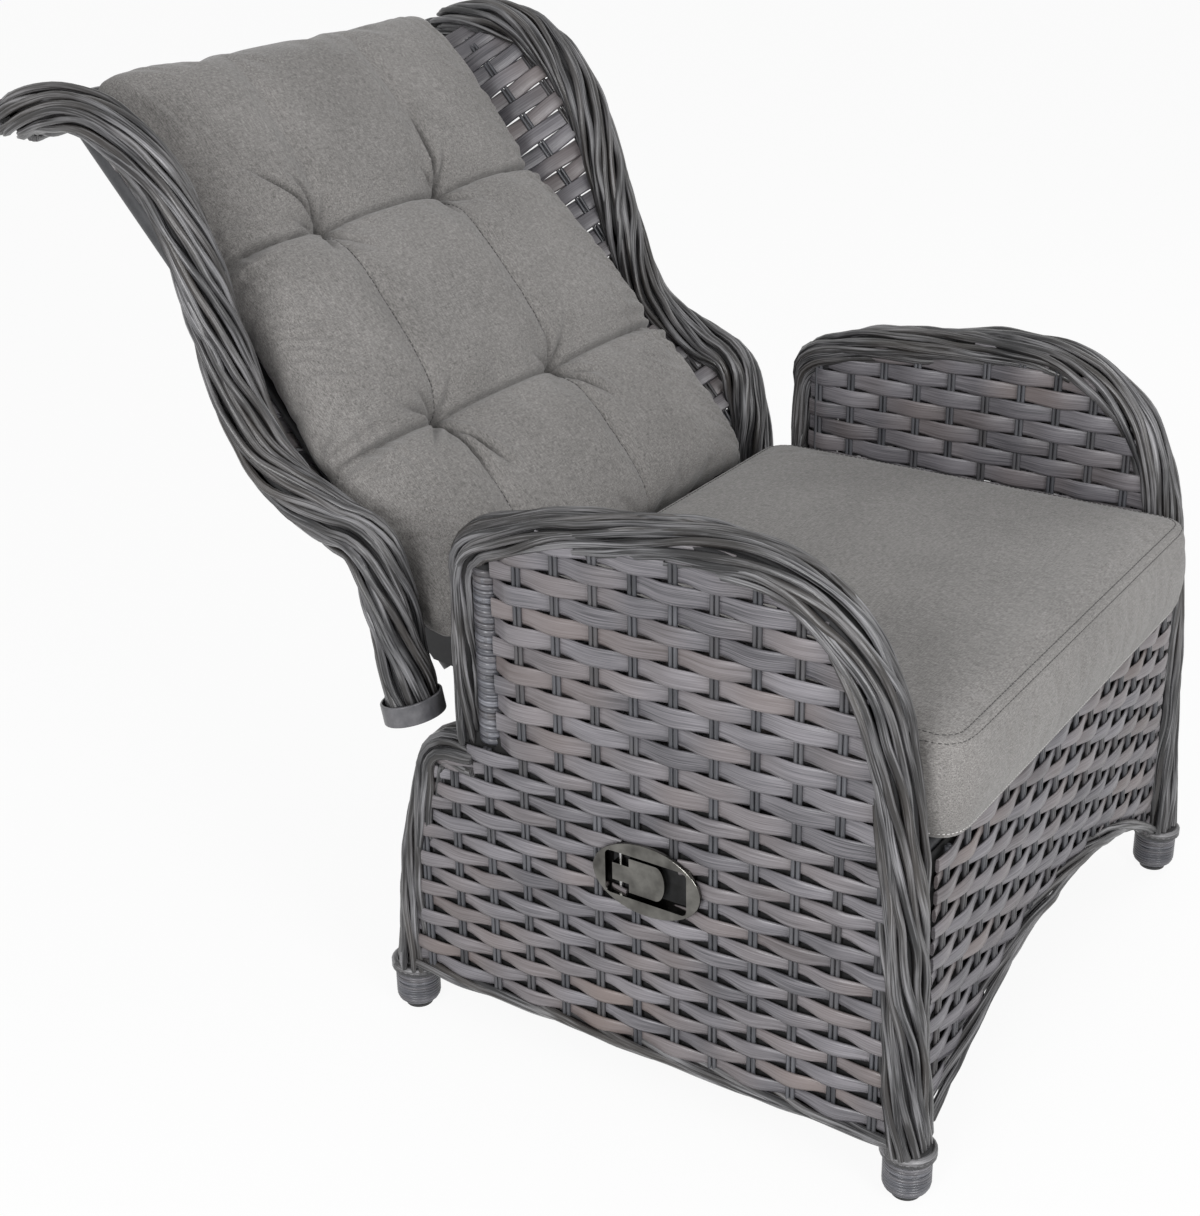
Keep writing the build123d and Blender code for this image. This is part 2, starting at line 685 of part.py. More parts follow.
# The back: rims, corner tubes and woven wings on both sides
corner_half = pin_inner - corner_tube_size / 2
for side, side_name in sides:
    back_route = route_on(back_plane(side * wing_half), back_rim_points)
    with BuildPart() as back_rim_room:
        sweep(section_at(back_route, back_rim_wide + 2 * fit, back_rim_deep + 2 * fit),
              path=back_route)
    with BuildPart() as back_rim:
        sweep(strands_at(back_route, back_rim_wide, back_rim_deep), path=back_route)
        with BuildSketch(Plane(origin=back_route @ 0, x_dir=(1, 0, 0), z_dir=back_route % 0)):
            Circle(tube_size / 2 + fit)
        sweep(path=back_route, mode=Mode.SUBTRACT)
    back_rim.part.label = f"back_rim_{side_name}"
    export_step(back_rim.part, f"parts/back_rim_{side_name}.step")

    # Tube inside the rim
    with BuildPart() as back_tube:
        sweep(ring_at(back_route, tube_size, tube_wall), path=back_route)
    back_tube.part.label = f"back_tube_{side_name}"
    export_step(back_tube.part, f"parts/back_tube_{side_name}.step")

    # Flat band that closes the rim's lower end
    cap_plane = Plane(origin=back_route @ 0, x_dir=(1, 0, 0), z_dir=back_route % 0)
    with BuildPart() as rim_cap:
        with BuildSketch(cap_plane.offset(-cap_below)):
            Ellipse(back_rim_wide / 2 + cap_wall, back_rim_deep / 2 + cap_wall)
        extrude(amount=cap_below + cap_above)
        fillet(rim_cap.edges().filter_by(GeomType.ELLIPSE), radius=cap_wall / 2)
        with BuildSketch(cap_plane.offset(-fit)):
            Ellipse(back_rim_wide / 2 + fit, back_rim_deep / 2 + fit)
        extrude(amount=cap_below + cap_above, mode=Mode.SUBTRACT)
    rim_cap.part.label = f"rim_cap_{side_name}"
    export_step(rim_cap.part, f"parts/rim_cap_{side_name}.step")

    # Upright tube in the corner between back and wing
    with BuildPart() as corner_tube:
        with BuildSketch(back_level(corner_tube_start)):
            with Locations((side * corner_half, back_tube_behind)):
                Circle(corner_tube_size / 2)
                Circle(corner_tube_size / 2 - tube_wall, mode=Mode.SUBTRACT)
        extrude(amount=corner_tube_end - corner_tube_start)
    corner_tube.part.label = f"corner_tube_{side_name}"
    export_step(corner_tube.part, f"parts/corner_tube_{side_name}.step")

    # Woven wing: a thin sheet from the corner tube out to the rim at every level
    with BuildPart() as corner_room:
        with BuildSketch(back_level(0)):
            with Locations((side * corner_half, back_tube_behind)):
                Circle(corner_tube_size / 2 + fit)
        extrude(amount=back_length)
    with BuildPart() as wing_weave:
        for share in wing_level_shares:
            along = back_length * share
            behind = 0.0
            for low, high in zip(back_rim_points, back_rim_points[1:]):
                if low[1] <= along <= high[1]:
                    part_way = (along - low[1]) / (high[1] - low[1])
                    behind = low[0] + part_way * (high[0] - low[0])
            inner = Vector(side * corner_half, back_tube_behind)
            outer = Vector(side * wing_half, behind)
            across = (outer - inner).normalized()
            thick = Vector(-across.Y, across.X) * (weave_thickness / 2)
            with BuildSketch(back_level(along)):
                with BuildLine():
                    Polyline(*[(spot.X, spot.Y) for spot in (inner - thick, outer - thick,
                                                             outer + thick, inner + thick)],
                             close=True)
                make_face()
        loft(ruled=True)
        add(corner_room.part, mode=Mode.SUBTRACT)
        add(back_rim_room.part, mode=Mode.SUBTRACT)
    wing_weave.part.label = f"wing_weave_{side_name}"
    export_step(wing_weave.part, f"parts/wing_weave_{side_name}.step")

    # Hinge plate beside the corner tube
    plate_points = [(back_tube_behind * u, back_tube_behind * v) for u, v in hinge_plate_shares]
    with BuildPart() as hinge_plate:
        with BuildSketch(back_plane(side * plate_face)):
            with BuildLine():
                Polyline(*plate_points, close=True)
            make_face()
            Circle(hinge_eye)
            Circle(pin_size / 2 + fit, mode=Mode.SUBTRACT)
        extrude(amount=-side * plate_thickness)
    hinge_plate.part.label = f"hinge_plate_{side_name}"
    export_step(hinge_plate.part, f"parts/hinge_plate_{side_name}.step")

# Woven sheet of the back between the corner tubes
with BuildPart() as back_weave:
    with BuildSketch(back_level(back_weave_start)):
        with Locations((0, back_weave_front + weave_thickness / 2)):
            Rectangle(2 * corner_half, weave_thickness)
        with Locations((-corner_half, back_tube_behind), (corner_half, back_tube_behind)):
            Circle(corner_tube_size / 2 + fit, mode=Mode.SUBTRACT)
    extrude(amount=back_weave_end - back_weave_start)
back_weave.part.label = "back_weave"
export_step(back_weave.part, "parts/back_weave.step")

# Cross tubes of the back
with BuildPart() as back_cross_tubes:
    for share in cross_tube_shares:
        with BuildSketch(back_plane(0)):
            with Locations((back_tube_behind, back_length * share)):
                Circle(cross_tube_size / 2)
                Circle(cross_tube_size / 2 - tube_wall, mode=Mode.SUBTRACT)
        extrude(amount=corner_half - corner_tube_size / 2 - fit, both=True)
back_cross_tubes.part.label = "back_cross_tubes"
export_step(back_cross_tubes.part, "parts/back_cross_tubes.step")

# Braided rim along the top
with BuildPart() as top_rim:
    with BuildSketch(back_plane(0)):
        with Locations((back_cushion_rear + 2 * fit + top_rim_wide / 2, top_rim_along)):
            Ellipse(top_rim_wide / 2, top_rim_deep / 2)
    extrude(amount=wing_half - back_rim_wide / 2 - fit, both=True)
top_rim.part.label = "top_rim"
export_step(top_rim.part, "parts/top_rim.step")

# Lever under the back's lowest cross tube, with the pin that drives the gas spring
lean = math.radians(recline_angle)
swing = math.radians(lever_rest_angle)
lever_dy = -lever_radius * math.sin(swing)
lever_dz = -lever_radius * math.cos(swing)
lever_pin_place = (lever_dy * math.cos(lean) - lever_dz * math.sin(lean),
                   lever_dy * math.sin(lean) + lever_dz * math.cos(lean))
lug_tube = (back_tube_behind, back_length * cross_tube_shares[0])
with BuildPart() as lever_lug:
    for side, _ in sides:
        with BuildSketch(back_plane(side * lug_gap_half)):
            with BuildLine():
                Polyline((lug_tube[0] - cross_tube_size / 2, lug_tube[1]),
                         (lug_tube[0] + cross_tube_size / 2, lug_tube[1]),
                         (lever_pin_place[0] + lever_eye, lever_pin_place[1]),
                         (lever_pin_place[0] - lever_eye, lever_pin_place[1]), close=True)
            make_face()
            with Locations(lever_pin_place):
                Circle(lever_eye)
                Circle(pin_size / 2 + fit / 2, mode=Mode.SUBTRACT)
            with Locations(lug_tube):
                Circle(cross_tube_size / 2 + fit, mode=Mode.SUBTRACT)
        extrude(amount=side * (lug_half - lug_gap_half))
lever_lug.part.label = "lever_lug"
export_step(lever_lug.part, "parts/lever_lug.step")

with BuildPart() as lever_pin:
    with BuildSketch(back_plane(0)):
        with Locations(lever_pin_place):
            Circle(pin_size / 2)
    extrude(amount=lug_half + plate_thickness / 2, both=True)
lever_pin.part.label = "lever_pin"
export_step(lever_pin.part, "parts/lever_pin.step")

# Gas spring: the cylinder moves with the lever, the rod stays
far_swing = math.radians(lever_far_angle)
spring_height = pivot_height - lever_radius * (1 + math.cos(far_swing)) / 2
eye_reach = pivot_reach + lever_dy


def lying_plane(reach):
    # Across the gas spring, looking to the rear
    return Plane(origin=(0, front_y + reach, spring_height), x_dir=(-1, 0, 0),
                 z_dir=(0, 1, 0))


with BuildPart() as gas_cylinder:
    with BuildSketch(lying_plane(cylinder_front)):
        Circle(cylinder_size / 2)
    extrude(amount=cylinder_rear - cylinder_front)
    with BuildSketch(lying_plane(cylinder_front + cylinder_end / 3)):
        Circle(cylinder_size / 2 - cylinder_wall)
    extrude(amount=cylinder_rear - cylinder_front - cylinder_end, mode=Mode.SUBTRACT)
    with BuildSketch(lying_plane(cylinder_front)):
        Circle(rod_size / 2 + fit)
    extrude(amount=cylinder_end, mode=Mode.SUBTRACT)
    with BuildSketch(side_plane(0)):
        with Locations((eye_reach, spring_height)):
            Circle(eye_radius)
        with Locations(((cylinder_rear + eye_reach) / 2, spring_height)):
            Rectangle(eye_reach - cylinder_rear + fit, eye_radius)
    extrude(amount=eye_half, both=True)
    with BuildSketch(side_plane(0)):
        with Locations((eye_reach, spring_height)):
            Circle(pin_size / 2 + open_pivot_clearance)
    extrude(amount=eye_half, both=True, mode=Mode.SUBTRACT)
gas_cylinder.part.label = "gas_cylinder"
export_step(gas_cylinder.part, "parts/gas_cylinder.step")

with BuildPart() as gas_rod:
    with BuildSketch(lying_plane(rod_front)):
        Circle(rod_size / 2)
    extrude(amount=rod_rear - rod_front)
    with BuildSketch(lying_plane(rod_rear - piston_length)):
        Circle(cylinder_size / 2 - cylinder_wall - fit)
    extrude(amount=piston_length)
gas_rod.part.label = "gas_rod"
export_step(gas_rod.part, "parts/gas_rod.step")

# Release head on the rod's end, with ears for the lever and a stop for the cable
release_reach = head_front - release_gap - release_lever_thick / 2
with BuildPart() as release_head:
    with BuildSketch(lying_plane(head_front)):
        Rectangle(2 * head_half, 2 * head_rise)
    extrude(amount=head_long)
    with BuildSketch(lying_plane(head_front)):
        Circle(head_bore / 2)
    extrude(amount=head_bore_depth, mode=Mode.SUBTRACT)
    for side, _ in sides:
        with BuildSketch(side_plane(side * (release_lever_half + fit))):
            with Locations(((release_reach + head_front) / 2, spring_height + release_pivot_rise)):
                Rectangle(head_front - release_reach + fit, 2 * release_pivot_size)
            with Locations((release_reach, spring_height + release_pivot_rise)):
                Circle(release_pivot_size)
                Circle(release_pivot_size / 2 + fit / 2, mode=Mode.SUBTRACT)
        extrude(amount=side * ear_thick)
    with BuildSketch(Plane.XY.offset(spring_height - head_rise)):
        with Locations((0, front_y + rod_front - fit - cable_stop_long / 2)):
            Rectangle(cable_stop_size, cable_stop_long)
    extrude(amount=-(release_lever_drop - release_pivot_rise - head_rise + cable_stop_size))
    with BuildSketch(lying_plane(0)):
        with Locations((0, release_pivot_rise - release_lever_drop + cable_size)):
            Circle(cable_size / 4)
    extrude(amount=rod_front, mode=Mode.SUBTRACT)
    with BuildSketch(side_plane(0)):
        with Locations((mount_pin_reach, spring_height)):
            Circle(mount_pin_size / 2 + fit / 2)
    extrude(amount=head_half, both=True, mode=Mode.SUBTRACT)
release_head.part.label = "release_head"
export_step(release_head.part, "parts/release_head.step")


# Mount that holds the head to the front cross tube
with BuildPart() as spring_mount:
    mount_front = front_tube_reach + tube_size / 2 + fit
    mount_rear = mount_pin_reach + mount_arm_tall / 2
    for side, _ in sides:
        with BuildSketch(side_plane(side * (head_half + fit))):
            with Locations(((mount_front + mount_rear) / 2, spring_height)):
                RectangleRounded(mount_rear - mount_front, mount_arm_tall, mount_arm_thick)
            with Locations((mount_pin_reach, spring_height)):
                Circle(mount_pin_size / 2 + fit / 2, mode=Mode.SUBTRACT)
        extrude(amount=side * mount_arm_thick)
spring_mount.part.label = "spring_mount"
export_step(spring_mount.part, "parts/spring_mount.step")

# Pin through the mount and head, and axle of the release lever
with BuildPart() as spring_pins:
    with BuildSketch(side_plane(0)):
        with Locations((mount_pin_reach, spring_height)):
            Circle(mount_pin_size / 2)
    extrude(amount=head_half + 2 * mount_arm_thick, both=True)
    with BuildSketch(side_plane(0)):
        with Locations((release_reach, spring_height + release_pivot_rise)):
            Circle(release_pivot_size / 2)
    extrude(amount=release_lever_half + 2 * ear_thick, both=True)
spring_pins.part.label = "spring_pins"
export_step(spring_pins.part, "parts/spring_pins.step")

# Release lever: barrel on the axle, a nose for the spring's button, a tail for the cable
tail_height = spring_height + release_pivot_rise - release_lever_drop
with BuildPart() as release_lever:
    with BuildSketch(side_plane(0)):
        with Locations((release_reach, spring_height + release_pivot_rise)):
            Circle(release_pivot_size)
        with Locations((release_reach, (spring_height + release_pivot_rise + tail_height
                                        - release_nose) / 2)):
            Rectangle(release_lever_thick, release_lever_drop + release_nose)
        with Locations((release_reach, spring_height + release_pivot_rise)):
            Circle(release_pivot_size / 2 + fit / 2, mode=Mode.SUBTRACT)
    extrude(amount=release_lever_half, both=True)
    with BuildSketch(lying_plane(release_reach)):
        Circle(release_nose / 2)
    extrude(amount=release_lever_thick / 2 + release_nose_out)
release_lever.part.label = "release_lever"
export_step(release_lever.part, "parts/release_lever.step")

# Latch cup behind the skin, its oval bezel, the paddle and its pin
skin_face = side_half + rim_wide / 2 - outer_skin_inset
pivot_place = (latch_reach + paddle_pivot_behind, latch_height)
pivot_x = -(skin_face - paddle_pivot_sunk)
with BuildPart() as latch_cup:
    with BuildSketch(side_plane(-skin_face)):
        with Locations((latch_reach, latch_height)):
            RectangleRounded(housing_long, housing_tall, housing_corner)
    extrude(amount=cup_depth)
    with BuildSketch(side_plane(-skin_face)):
        with Locations((latch_reach, latch_height)):
            RectangleRounded(housing_long - 2 * cup_wall, housing_tall - 2 * cup_wall,
                             housing_corner - cup_wall)
    extrude(amount=cup_depth - cup_wall, mode=Mode.SUBTRACT)
    with BuildSketch(Plane.XY.offset(latch_height)):
        with Locations((pivot_x, front_y + pivot_place[0])):
            Circle(latch_pin_size / 2 + fit / 2)
    extrude(amount=housing_tall / 2, both=True, mode=Mode.SUBTRACT)
latch_cup.part.label = "latch_cup"
export_step(latch_cup.part, "parts/latch_cup.step")

with BuildPart() as latch_bezel:
    with BuildSketch(side_plane(-skin_face - fit)):
        with Locations((latch_reach, latch_height)):
            Ellipse(bezel_long / 2, bezel_tall / 2)
    extrude(amount=-bezel_thick)
    fillet(latch_bezel.faces().sort_by(Axis.X)[0].edges(), radius=bezel_round)
    with BuildSketch(side_plane(-skin_face)):
        with Locations((latch_reach, latch_height)):
            RectangleRounded(housing_long - 2 * cup_wall, housing_tall - 2 * cup_wall,
                             housing_corner - cup_wall)
    extrude(amount=-overrun, mode=Mode.SUBTRACT)
latch_bezel.part.label = "latch_bezel"
export_step(latch_bezel.part, "parts/latch_bezel.step")

with BuildPart() as latch_pin:
    with BuildSketch(Plane.XY.offset(latch_height)):
        with Locations((pivot_x, front_y + pivot_place[0])):
            Circle(latch_pin_size / 2)
    extrude(amount=housing_tall / 2 - fit, both=True)
latch_pin.part.label = "latch_pin"
export_step(latch_pin.part, "parts/latch_pin.step")

paddle_face = -(skin_face + bezel_thick / 2)
body_rear = pivot_place[0] - (paddle_reach - paddle_body_long)
body_front = pivot_place[0] - paddle_reach
nose_long = paddle_body_long / 4
with BuildPart() as latch_paddle:
    with BuildSketch(side_plane(paddle_face)):
        with Locations(((body_rear + body_front + nose_long) / 2, latch_height)):
            Rectangle(paddle_body_long - nose_long, paddle_body_tall)
        with Locations((body_front + nose_long, latch_height)):
            Ellipse(nose_long, paddle_body_tall / 2)
        with Locations(((body_rear + pivot_place[0]) / 2, latch_height)):
            Rectangle(pivot_place[0] - body_rear + paddle_barrel, paddle_tab_tall)
    extrude(amount=paddle_thick)
    with BuildSketch(Plane.XY.offset(latch_height)):
        with Locations((pivot_x, front_y + pivot_place[0])):
            Circle(paddle_barrel / 2)
        with Locations(((pivot_x + paddle_face + paddle_thick) / 2, front_y + pivot_place[0])):
            Rectangle(pivot_x - paddle_face - paddle_thick + fit, paddle_barrel)
    extrude(amount=paddle_tab_tall / 2, both=True)
    with BuildSketch(Plane.XY.offset(latch_height)):
        with Locations((pivot_x + paddle_arm / 2, front_y + pivot_place[0])):
            Rectangle(paddle_arm, paddle_thick)
    extrude(amount=paddle_arm_tall / 2, both=True)
    with BuildSketch(Plane.XY.offset(latch_height)):
        with Locations((pivot_x, front_y + pivot_place[0])):
            Circle(latch_pin_size / 2 + fit / 2)
    extrude(amount=housing_tall, both=True, mode=Mode.SUBTRACT)
latch_paddle.part.label = "latch_paddle"
export_step(latch_paddle.part, "parts/latch_paddle.step")

# Release cable: from the cup's rear wall in a wide turn under the seat to the head's stop
cable_start = Vector(-(skin_face - cup_depth * 2 / 3), front_y + latch_reach
                     + housing_long / 2 + fit, latch_height)
cable_stop = Vector(0, front_y + rod_front, tail_height)
cable_span = cable_stop - cable_start
cable_points = [cable_start]
cable_points += [cable_start + Vector(cable_span.X * across, cable_span.Y * behind,
                                      cable_span.Z * up)
                 for across, behind, up in cable_shares]
cable_points += [cable_stop + Vector(0, cable_lead, 0), cable_stop]
cable_radii = []
for before, corner, after in zip(cable_points, cable_points[1:], cable_points[2:]):
    half_turn = math.radians((corner - before).get_angle(after - corner)) / 2
    shorter = min((corner - before).length, (after - corner).length)
    cable_radii.append(bend_share * shorter / math.tan(half_turn))
print("cable radii", [round(radius) for radius in cable_radii])
with BuildLine() as cable_line:
    FilletPolyline(*cable_points, radius=cable_radii)
cable_route = cable_line.line
with BuildPart() as release_cable:
    with BuildSketch(Plane(origin=cable_route @ 0, z_dir=cable_route % 0)):
        Circle(cable_size / 2)
    sweep(path=cable_route)
cable_section = math.pi * cable_size ** 2 / 4
cable_length = sum(edge.length for edge in cable_route.edges())
print("cable volume over section times length",
      round(release_cable.part.volume / (cable_section * cable_length), 4))
release_cable.part.label = "release_cable"
export_step(release_cable.part, "parts/release_cable.step")

# Seat cushion: crowned, with drawn-in sides
cushion_low = seat_height + cushion_lift
cushion_half = rail_half
cushion_side_height = cushion_thickness - cushion_crown
with BuildPart() as seat_cushion:
    for share, size in seat_station_shares:
        low = cushion_low + (1 - size) * cushion_side_height / 2
        high = cushion_low + cushion_side_height * (1 + size) / 2
        crown = high + cushion_crown * size
        front = cushion_front + (1 - size) * cushion_corner
        rear = cushion_rear - (1 - size) * cushion_corner
        with BuildSketch(side_plane(share * cushion_half)):
            with BuildLine():
                Line((front + cushion_bulge, low), (rear - cushion_corner, low))
                ThreePointArc((rear - cushion_corner, low), (rear, (low + high) / 2),
                              (rear - cushion_corner, high))
                ThreePointArc((rear - cushion_corner, high), ((front + rear) / 2, crown),
                              (front + cushion_bulge, high))
                ThreePointArc((front + cushion_bulge, high), (front, (low + high) / 2),
                              (front + cushion_bulge, low))
            make_face()
    loft(ruled=True)
seat_cushion.part.label = "seat_cushion"
export_step(seat_cushion.part, "parts/seat_cushion.step")

# Back cushion: pillows in three columns and rows, drawn in at four tufts
cushion_span = back_cushion_end - back_cushion_start
with BuildPart() as back_cushion:
    for share, crown_share, crease_share, edge_share, width_share in (
            back_cushion_levels_shares):
        half = back_cushion_half * width_share
        crown = back_cushion_rear - back_cushion_depth * crown_share
        crease = back_cushion_rear - back_cushion_depth * crease_share
        edge = back_cushion_rear - back_cushion_depth * edge_share
        with BuildSketch(back_level(back_cushion_start + cushion_span * share)):
            with BuildLine():
                Line((-half, edge), (-half, back_cushion_rear))
                Line((-half, back_cushion_rear), (half, back_cushion_rear))
                Line((half, back_cushion_rear), (half, edge))
                ThreePointArc((half, edge), ((half + column_crease) / 2, crown),
                              (column_crease, crease))
                ThreePointArc((column_crease, crease), (0, crown), (-column_crease, crease))
                ThreePointArc((-column_crease, crease), (-(half + column_crease) / 2, crown),
                              (-half, edge))
            make_face()
    loft(ruled=True)
back_cushion.part.label = "back_cushion"
export_step(back_cushion.part, "parts/back_cushion.step")
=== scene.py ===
import bpy
import bmesh
import math
import random
from mathutils import Matrix, Vector
from mathutils.bvhtree import BVHTree


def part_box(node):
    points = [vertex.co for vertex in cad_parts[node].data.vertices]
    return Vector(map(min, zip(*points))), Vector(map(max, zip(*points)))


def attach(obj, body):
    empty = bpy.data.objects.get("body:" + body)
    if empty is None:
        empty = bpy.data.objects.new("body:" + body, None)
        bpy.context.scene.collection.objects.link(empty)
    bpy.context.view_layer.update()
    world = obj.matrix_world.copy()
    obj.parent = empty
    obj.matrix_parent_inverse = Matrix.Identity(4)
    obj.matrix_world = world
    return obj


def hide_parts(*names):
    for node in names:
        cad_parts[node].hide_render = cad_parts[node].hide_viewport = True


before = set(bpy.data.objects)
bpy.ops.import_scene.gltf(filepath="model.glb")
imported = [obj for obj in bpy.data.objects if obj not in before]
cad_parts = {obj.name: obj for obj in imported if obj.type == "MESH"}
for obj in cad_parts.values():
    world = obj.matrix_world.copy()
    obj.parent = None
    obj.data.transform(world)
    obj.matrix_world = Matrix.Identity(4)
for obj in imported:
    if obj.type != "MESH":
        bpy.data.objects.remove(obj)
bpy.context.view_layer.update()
print("frame loaded:", len(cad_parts), "nodes")

# Sizes shared by several pieces, in metres. Side view places are (behind the front feet, up)
chair = {
    "sideHalf": 0.330,
    "wingHalf": 0.342,
    "pivot": (0.525, 0.385),
    "recline": math.radians(41.5),
    "backLength": 0.686,
    "armDepth": 0.461,
    "armHeight": 0.587,
    "shelf": 0.340,
}
sides = ((-1, "right"), (1, "left"))
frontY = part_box("apron_weave")[0].y - 0.003
armRimPath = [(0.006, 0.054), (0.035, 0.314), (0.065, 0.647), (0.087, 0.762), (0.130, 0.860),
              (0.200, 0.934), (0.297, 0.983), (0.434, 1.000), (0.651, 0.986), (0.911, 0.947)]
backRimPath = [(0.044, -0.023), (0.017, 0.025), (-0.051, 0.140), (-0.068, 0.197),
               (-0.042, 0.248), (0.000, 0.363), (-0.006, 0.417), (-0.061, 0.560),
               (-0.117, 0.704), (-0.128, 0.773), (-0.118, 0.848), (-0.090, 0.907),
               (-0.038, 0.956), (0.052, 1.000)]


def inSide(x, reach, height):
    return Vector((x, frontY + reach, height))


def inBack(x, behind, along):
    # A place in the back's own frame: behind its plane, and along it from the pivot
    lean, (reach, height) = chair["recline"], chair["pivot"]
    return inSide(x, reach + behind * math.cos(lean) + along * math.sin(lean),
                  height - behind * math.sin(lean) + along * math.cos(lean))


# Camera at the photograph's angle
camera = {
    "place": (-1.6545, -0.5630, 1.2214),
    "azimuth": -56.50,
    "elevation": 24.16,
    "roll": -1.017,
    "focalPixels": 1976.6,
    "imageSize": (1200, 1216),
    "centreOffset": (12.8, -0.4),
}


def makeCamera(values):
    azimuth, elevation = math.radians(values["azimuth"]), math.radians(values["elevation"])
    roll = math.radians(values["roll"])
    back = Vector((math.sin(azimuth) * math.cos(elevation),
                   -math.cos(azimuth) * math.cos(elevation), math.sin(elevation)))
    level = (-back).cross(Vector((0, 0, 1))).normalized()
    upright = level.cross(-back)
    right = level * math.cos(roll) + upright * math.sin(roll)
    up = upright * math.cos(roll) - level * math.sin(roll)
    data = bpy.data.cameras.new("photoCamera")
    longSide = max(values["imageSize"])
    data.sensor_width = 36.0
    data.lens = values["focalPixels"] / longSide * data.sensor_width
    data.shift_x = -values["centreOffset"][0] / longSide
    data.shift_y = values["centreOffset"][1] / longSide
    data.clip_end = 50
    item = bpy.data.objects.new("photoCamera", data)
    bpy.context.scene.collection.objects.link(item)
    turn = Matrix((right, up, back)).transposed().to_4x4()
    x, y, z = values["place"]
    item.matrix_world = Matrix.Translation((x, y + frontY, z)) @ turn
    bpy.context.scene.camera = item


makeCamera(camera)


# Small helpers for node trees
def addNode(tree, kind, **settings):
    node = tree.nodes.new(kind)
    for name, value in settings.items():
        if name.startswith("in_"):
            node.inputs[name[3:].replace("_", " ")].default_value = value
        else:
            setattr(node, name, value)
    return node


def mathNode(tree, operation, first, second=0.0, third=None):
    node = addNode(tree, "ShaderNodeMath", operation=operation)
    for socket, value in zip(node.inputs, (first, second, third)):
        if value is None:
            continue
        if isinstance(value, (int, float)):
            socket.default_value = value
        else:
            tree.links.new(value, socket)
    return node.outputs[0]


def times(tree, first, second):
    return mathNode(tree, "MULTIPLY", first, second)


def plus(tree, first, second):
    return mathNode(tree, "ADD", first, second)


def minus(tree, first, second):
    return mathNode(tree, "SUBTRACT", first, second)


def vectorNode(tree, operation, first, second=None, scale=None):
    node = addNode(tree, "ShaderNodeVectorMath", operation=operation)
    for socket, value in zip(node.inputs, (first, second)):
        if value is None:
            continue
        if isinstance(value, (tuple, list, Vector)):
            socket.default_value = tuple(value)
        else:
            tree.links.new(value, socket)
    if scale is not None:
        if isinstance(scale, (int, float)):
            node.inputs["Scale"].default_value = scale
        else:
            tree.links.new(scale, node.inputs["Scale"])
    return node.outputs[0] if operation not in ("LENGTH", "DOT_PRODUCT") else node.outputs[1]


def joined(tree, x=None, y=None, z=None):
    # One vector from three numbers; a number left out is zero
    node = addNode(tree, "ShaderNodeCombineXYZ")
    for socket, value in zip(node.inputs, (x, y, z)):
        if isinstance(value, (int, float)):
            socket.default_value = value
        elif value is not None:
            tree.links.new(value, socket)
    return node.outputs[0]


def parted(tree, vector):
    node = addNode(tree, "ShaderNodeSeparateXYZ")
    tree.links.new(vector, node.inputs[0])
    return node.outputs


def recalled(tree, name, kind="FLOAT"):
    return addNode(tree, "GeometryNodeInputNamedAttribute", data_type=kind,
                   in_Name=name).outputs[0]


def stored(tree, geometry, name, value, domain="POINT", kind="FLOAT"):
    node = addNode(tree, "GeometryNodeStoreNamedAttribute", data_type=kind, domain=domain,
                   in_Name=name)
    tree.links.new(geometry, node.inputs["Geometry"])
    tree.links.new(value, node.inputs["Value"])
    return node.outputs[0]


def moved(tree, geometry, socket, value):
    node = addNode(tree, "GeometryNodeSetPosition")
    tree.links.new(geometry, node.inputs["Geometry"])
    tree.links.new(value, node.inputs[socket])
    return node.outputs[0]


def swept(tree, curve, profile, axis, scale=None):
    # A tube whose points keep where they lie round it
    place = parted(tree, addNode(tree, "GeometryNodeInputPosition").outputs[0])
    tube = addNode(tree, "GeometryNodeCurveToMesh", in_Fill_Caps=True)
    tree.links.new(curve, tube.inputs["Curve"])
    tree.links.new(stored(tree, profile, "around", place[axis]), tube.inputs["Profile Curve"])
    if scale is not None:
        tree.links.new(scale, tube.inputs["Scale"])
    return tube.outputs[0]


def scaledProfile(tree, profile, deep, wide):
    node = addNode(tree, "GeometryNodeTransform")
    tree.links.new(profile, node.inputs["Geometry"])
    tree.links.new(joined(tree, deep, wide, 1.0), node.inputs["Scale"])
    return node.outputs[0]


def lengthAlong(tree):
    return addNode(tree, "GeometryNodeSplineParameter").outputs["Length"]


def dressed(tree, geometry, given, result):
    # The last two nodes of each tree: real geometry in one finish
    real = addNode(tree, "GeometryNodeRealizeInstances")
    tree.links.new(geometry, real.inputs[0])
    finish = addNode(tree, "GeometryNodeSetMaterial")
    tree.links.new(real.outputs[0], finish.inputs["Geometry"])
    tree.links.new(given.outputs["Finish"], finish.inputs["Material"])
    tree.links.new(finish.outputs[0], result.inputs[0])


def finishTree(tree, geometry, given, result):
    # Keeps where each point lies along, across and on which strip, then sets the finish
    grain = joined(tree, *(recalled(tree, name) for name in ("along", "around", "strand")))
    dressed(tree, stored(tree, geometry, "grain", grain, kind="FLOAT_VECTOR"), given, result)


def evenCurves(tree, geometry, step):
    # Curves along the edges of a mesh, with points at even steps
    curves = addNode(tree, "GeometryNodeMeshToCurve")
    tree.links.new(geometry, curves.inputs[0])
    fine = addNode(tree, "GeometryNodeResampleCurve", mode="LENGTH")
    tree.links.new(curves.outputs[0], fine.inputs["Curve"])
    if isinstance(step, float):
        fine.inputs["Length"].default_value = step
    else:
        tree.links.new(step, fine.inputs["Length"])
    return fine.outputs[0]


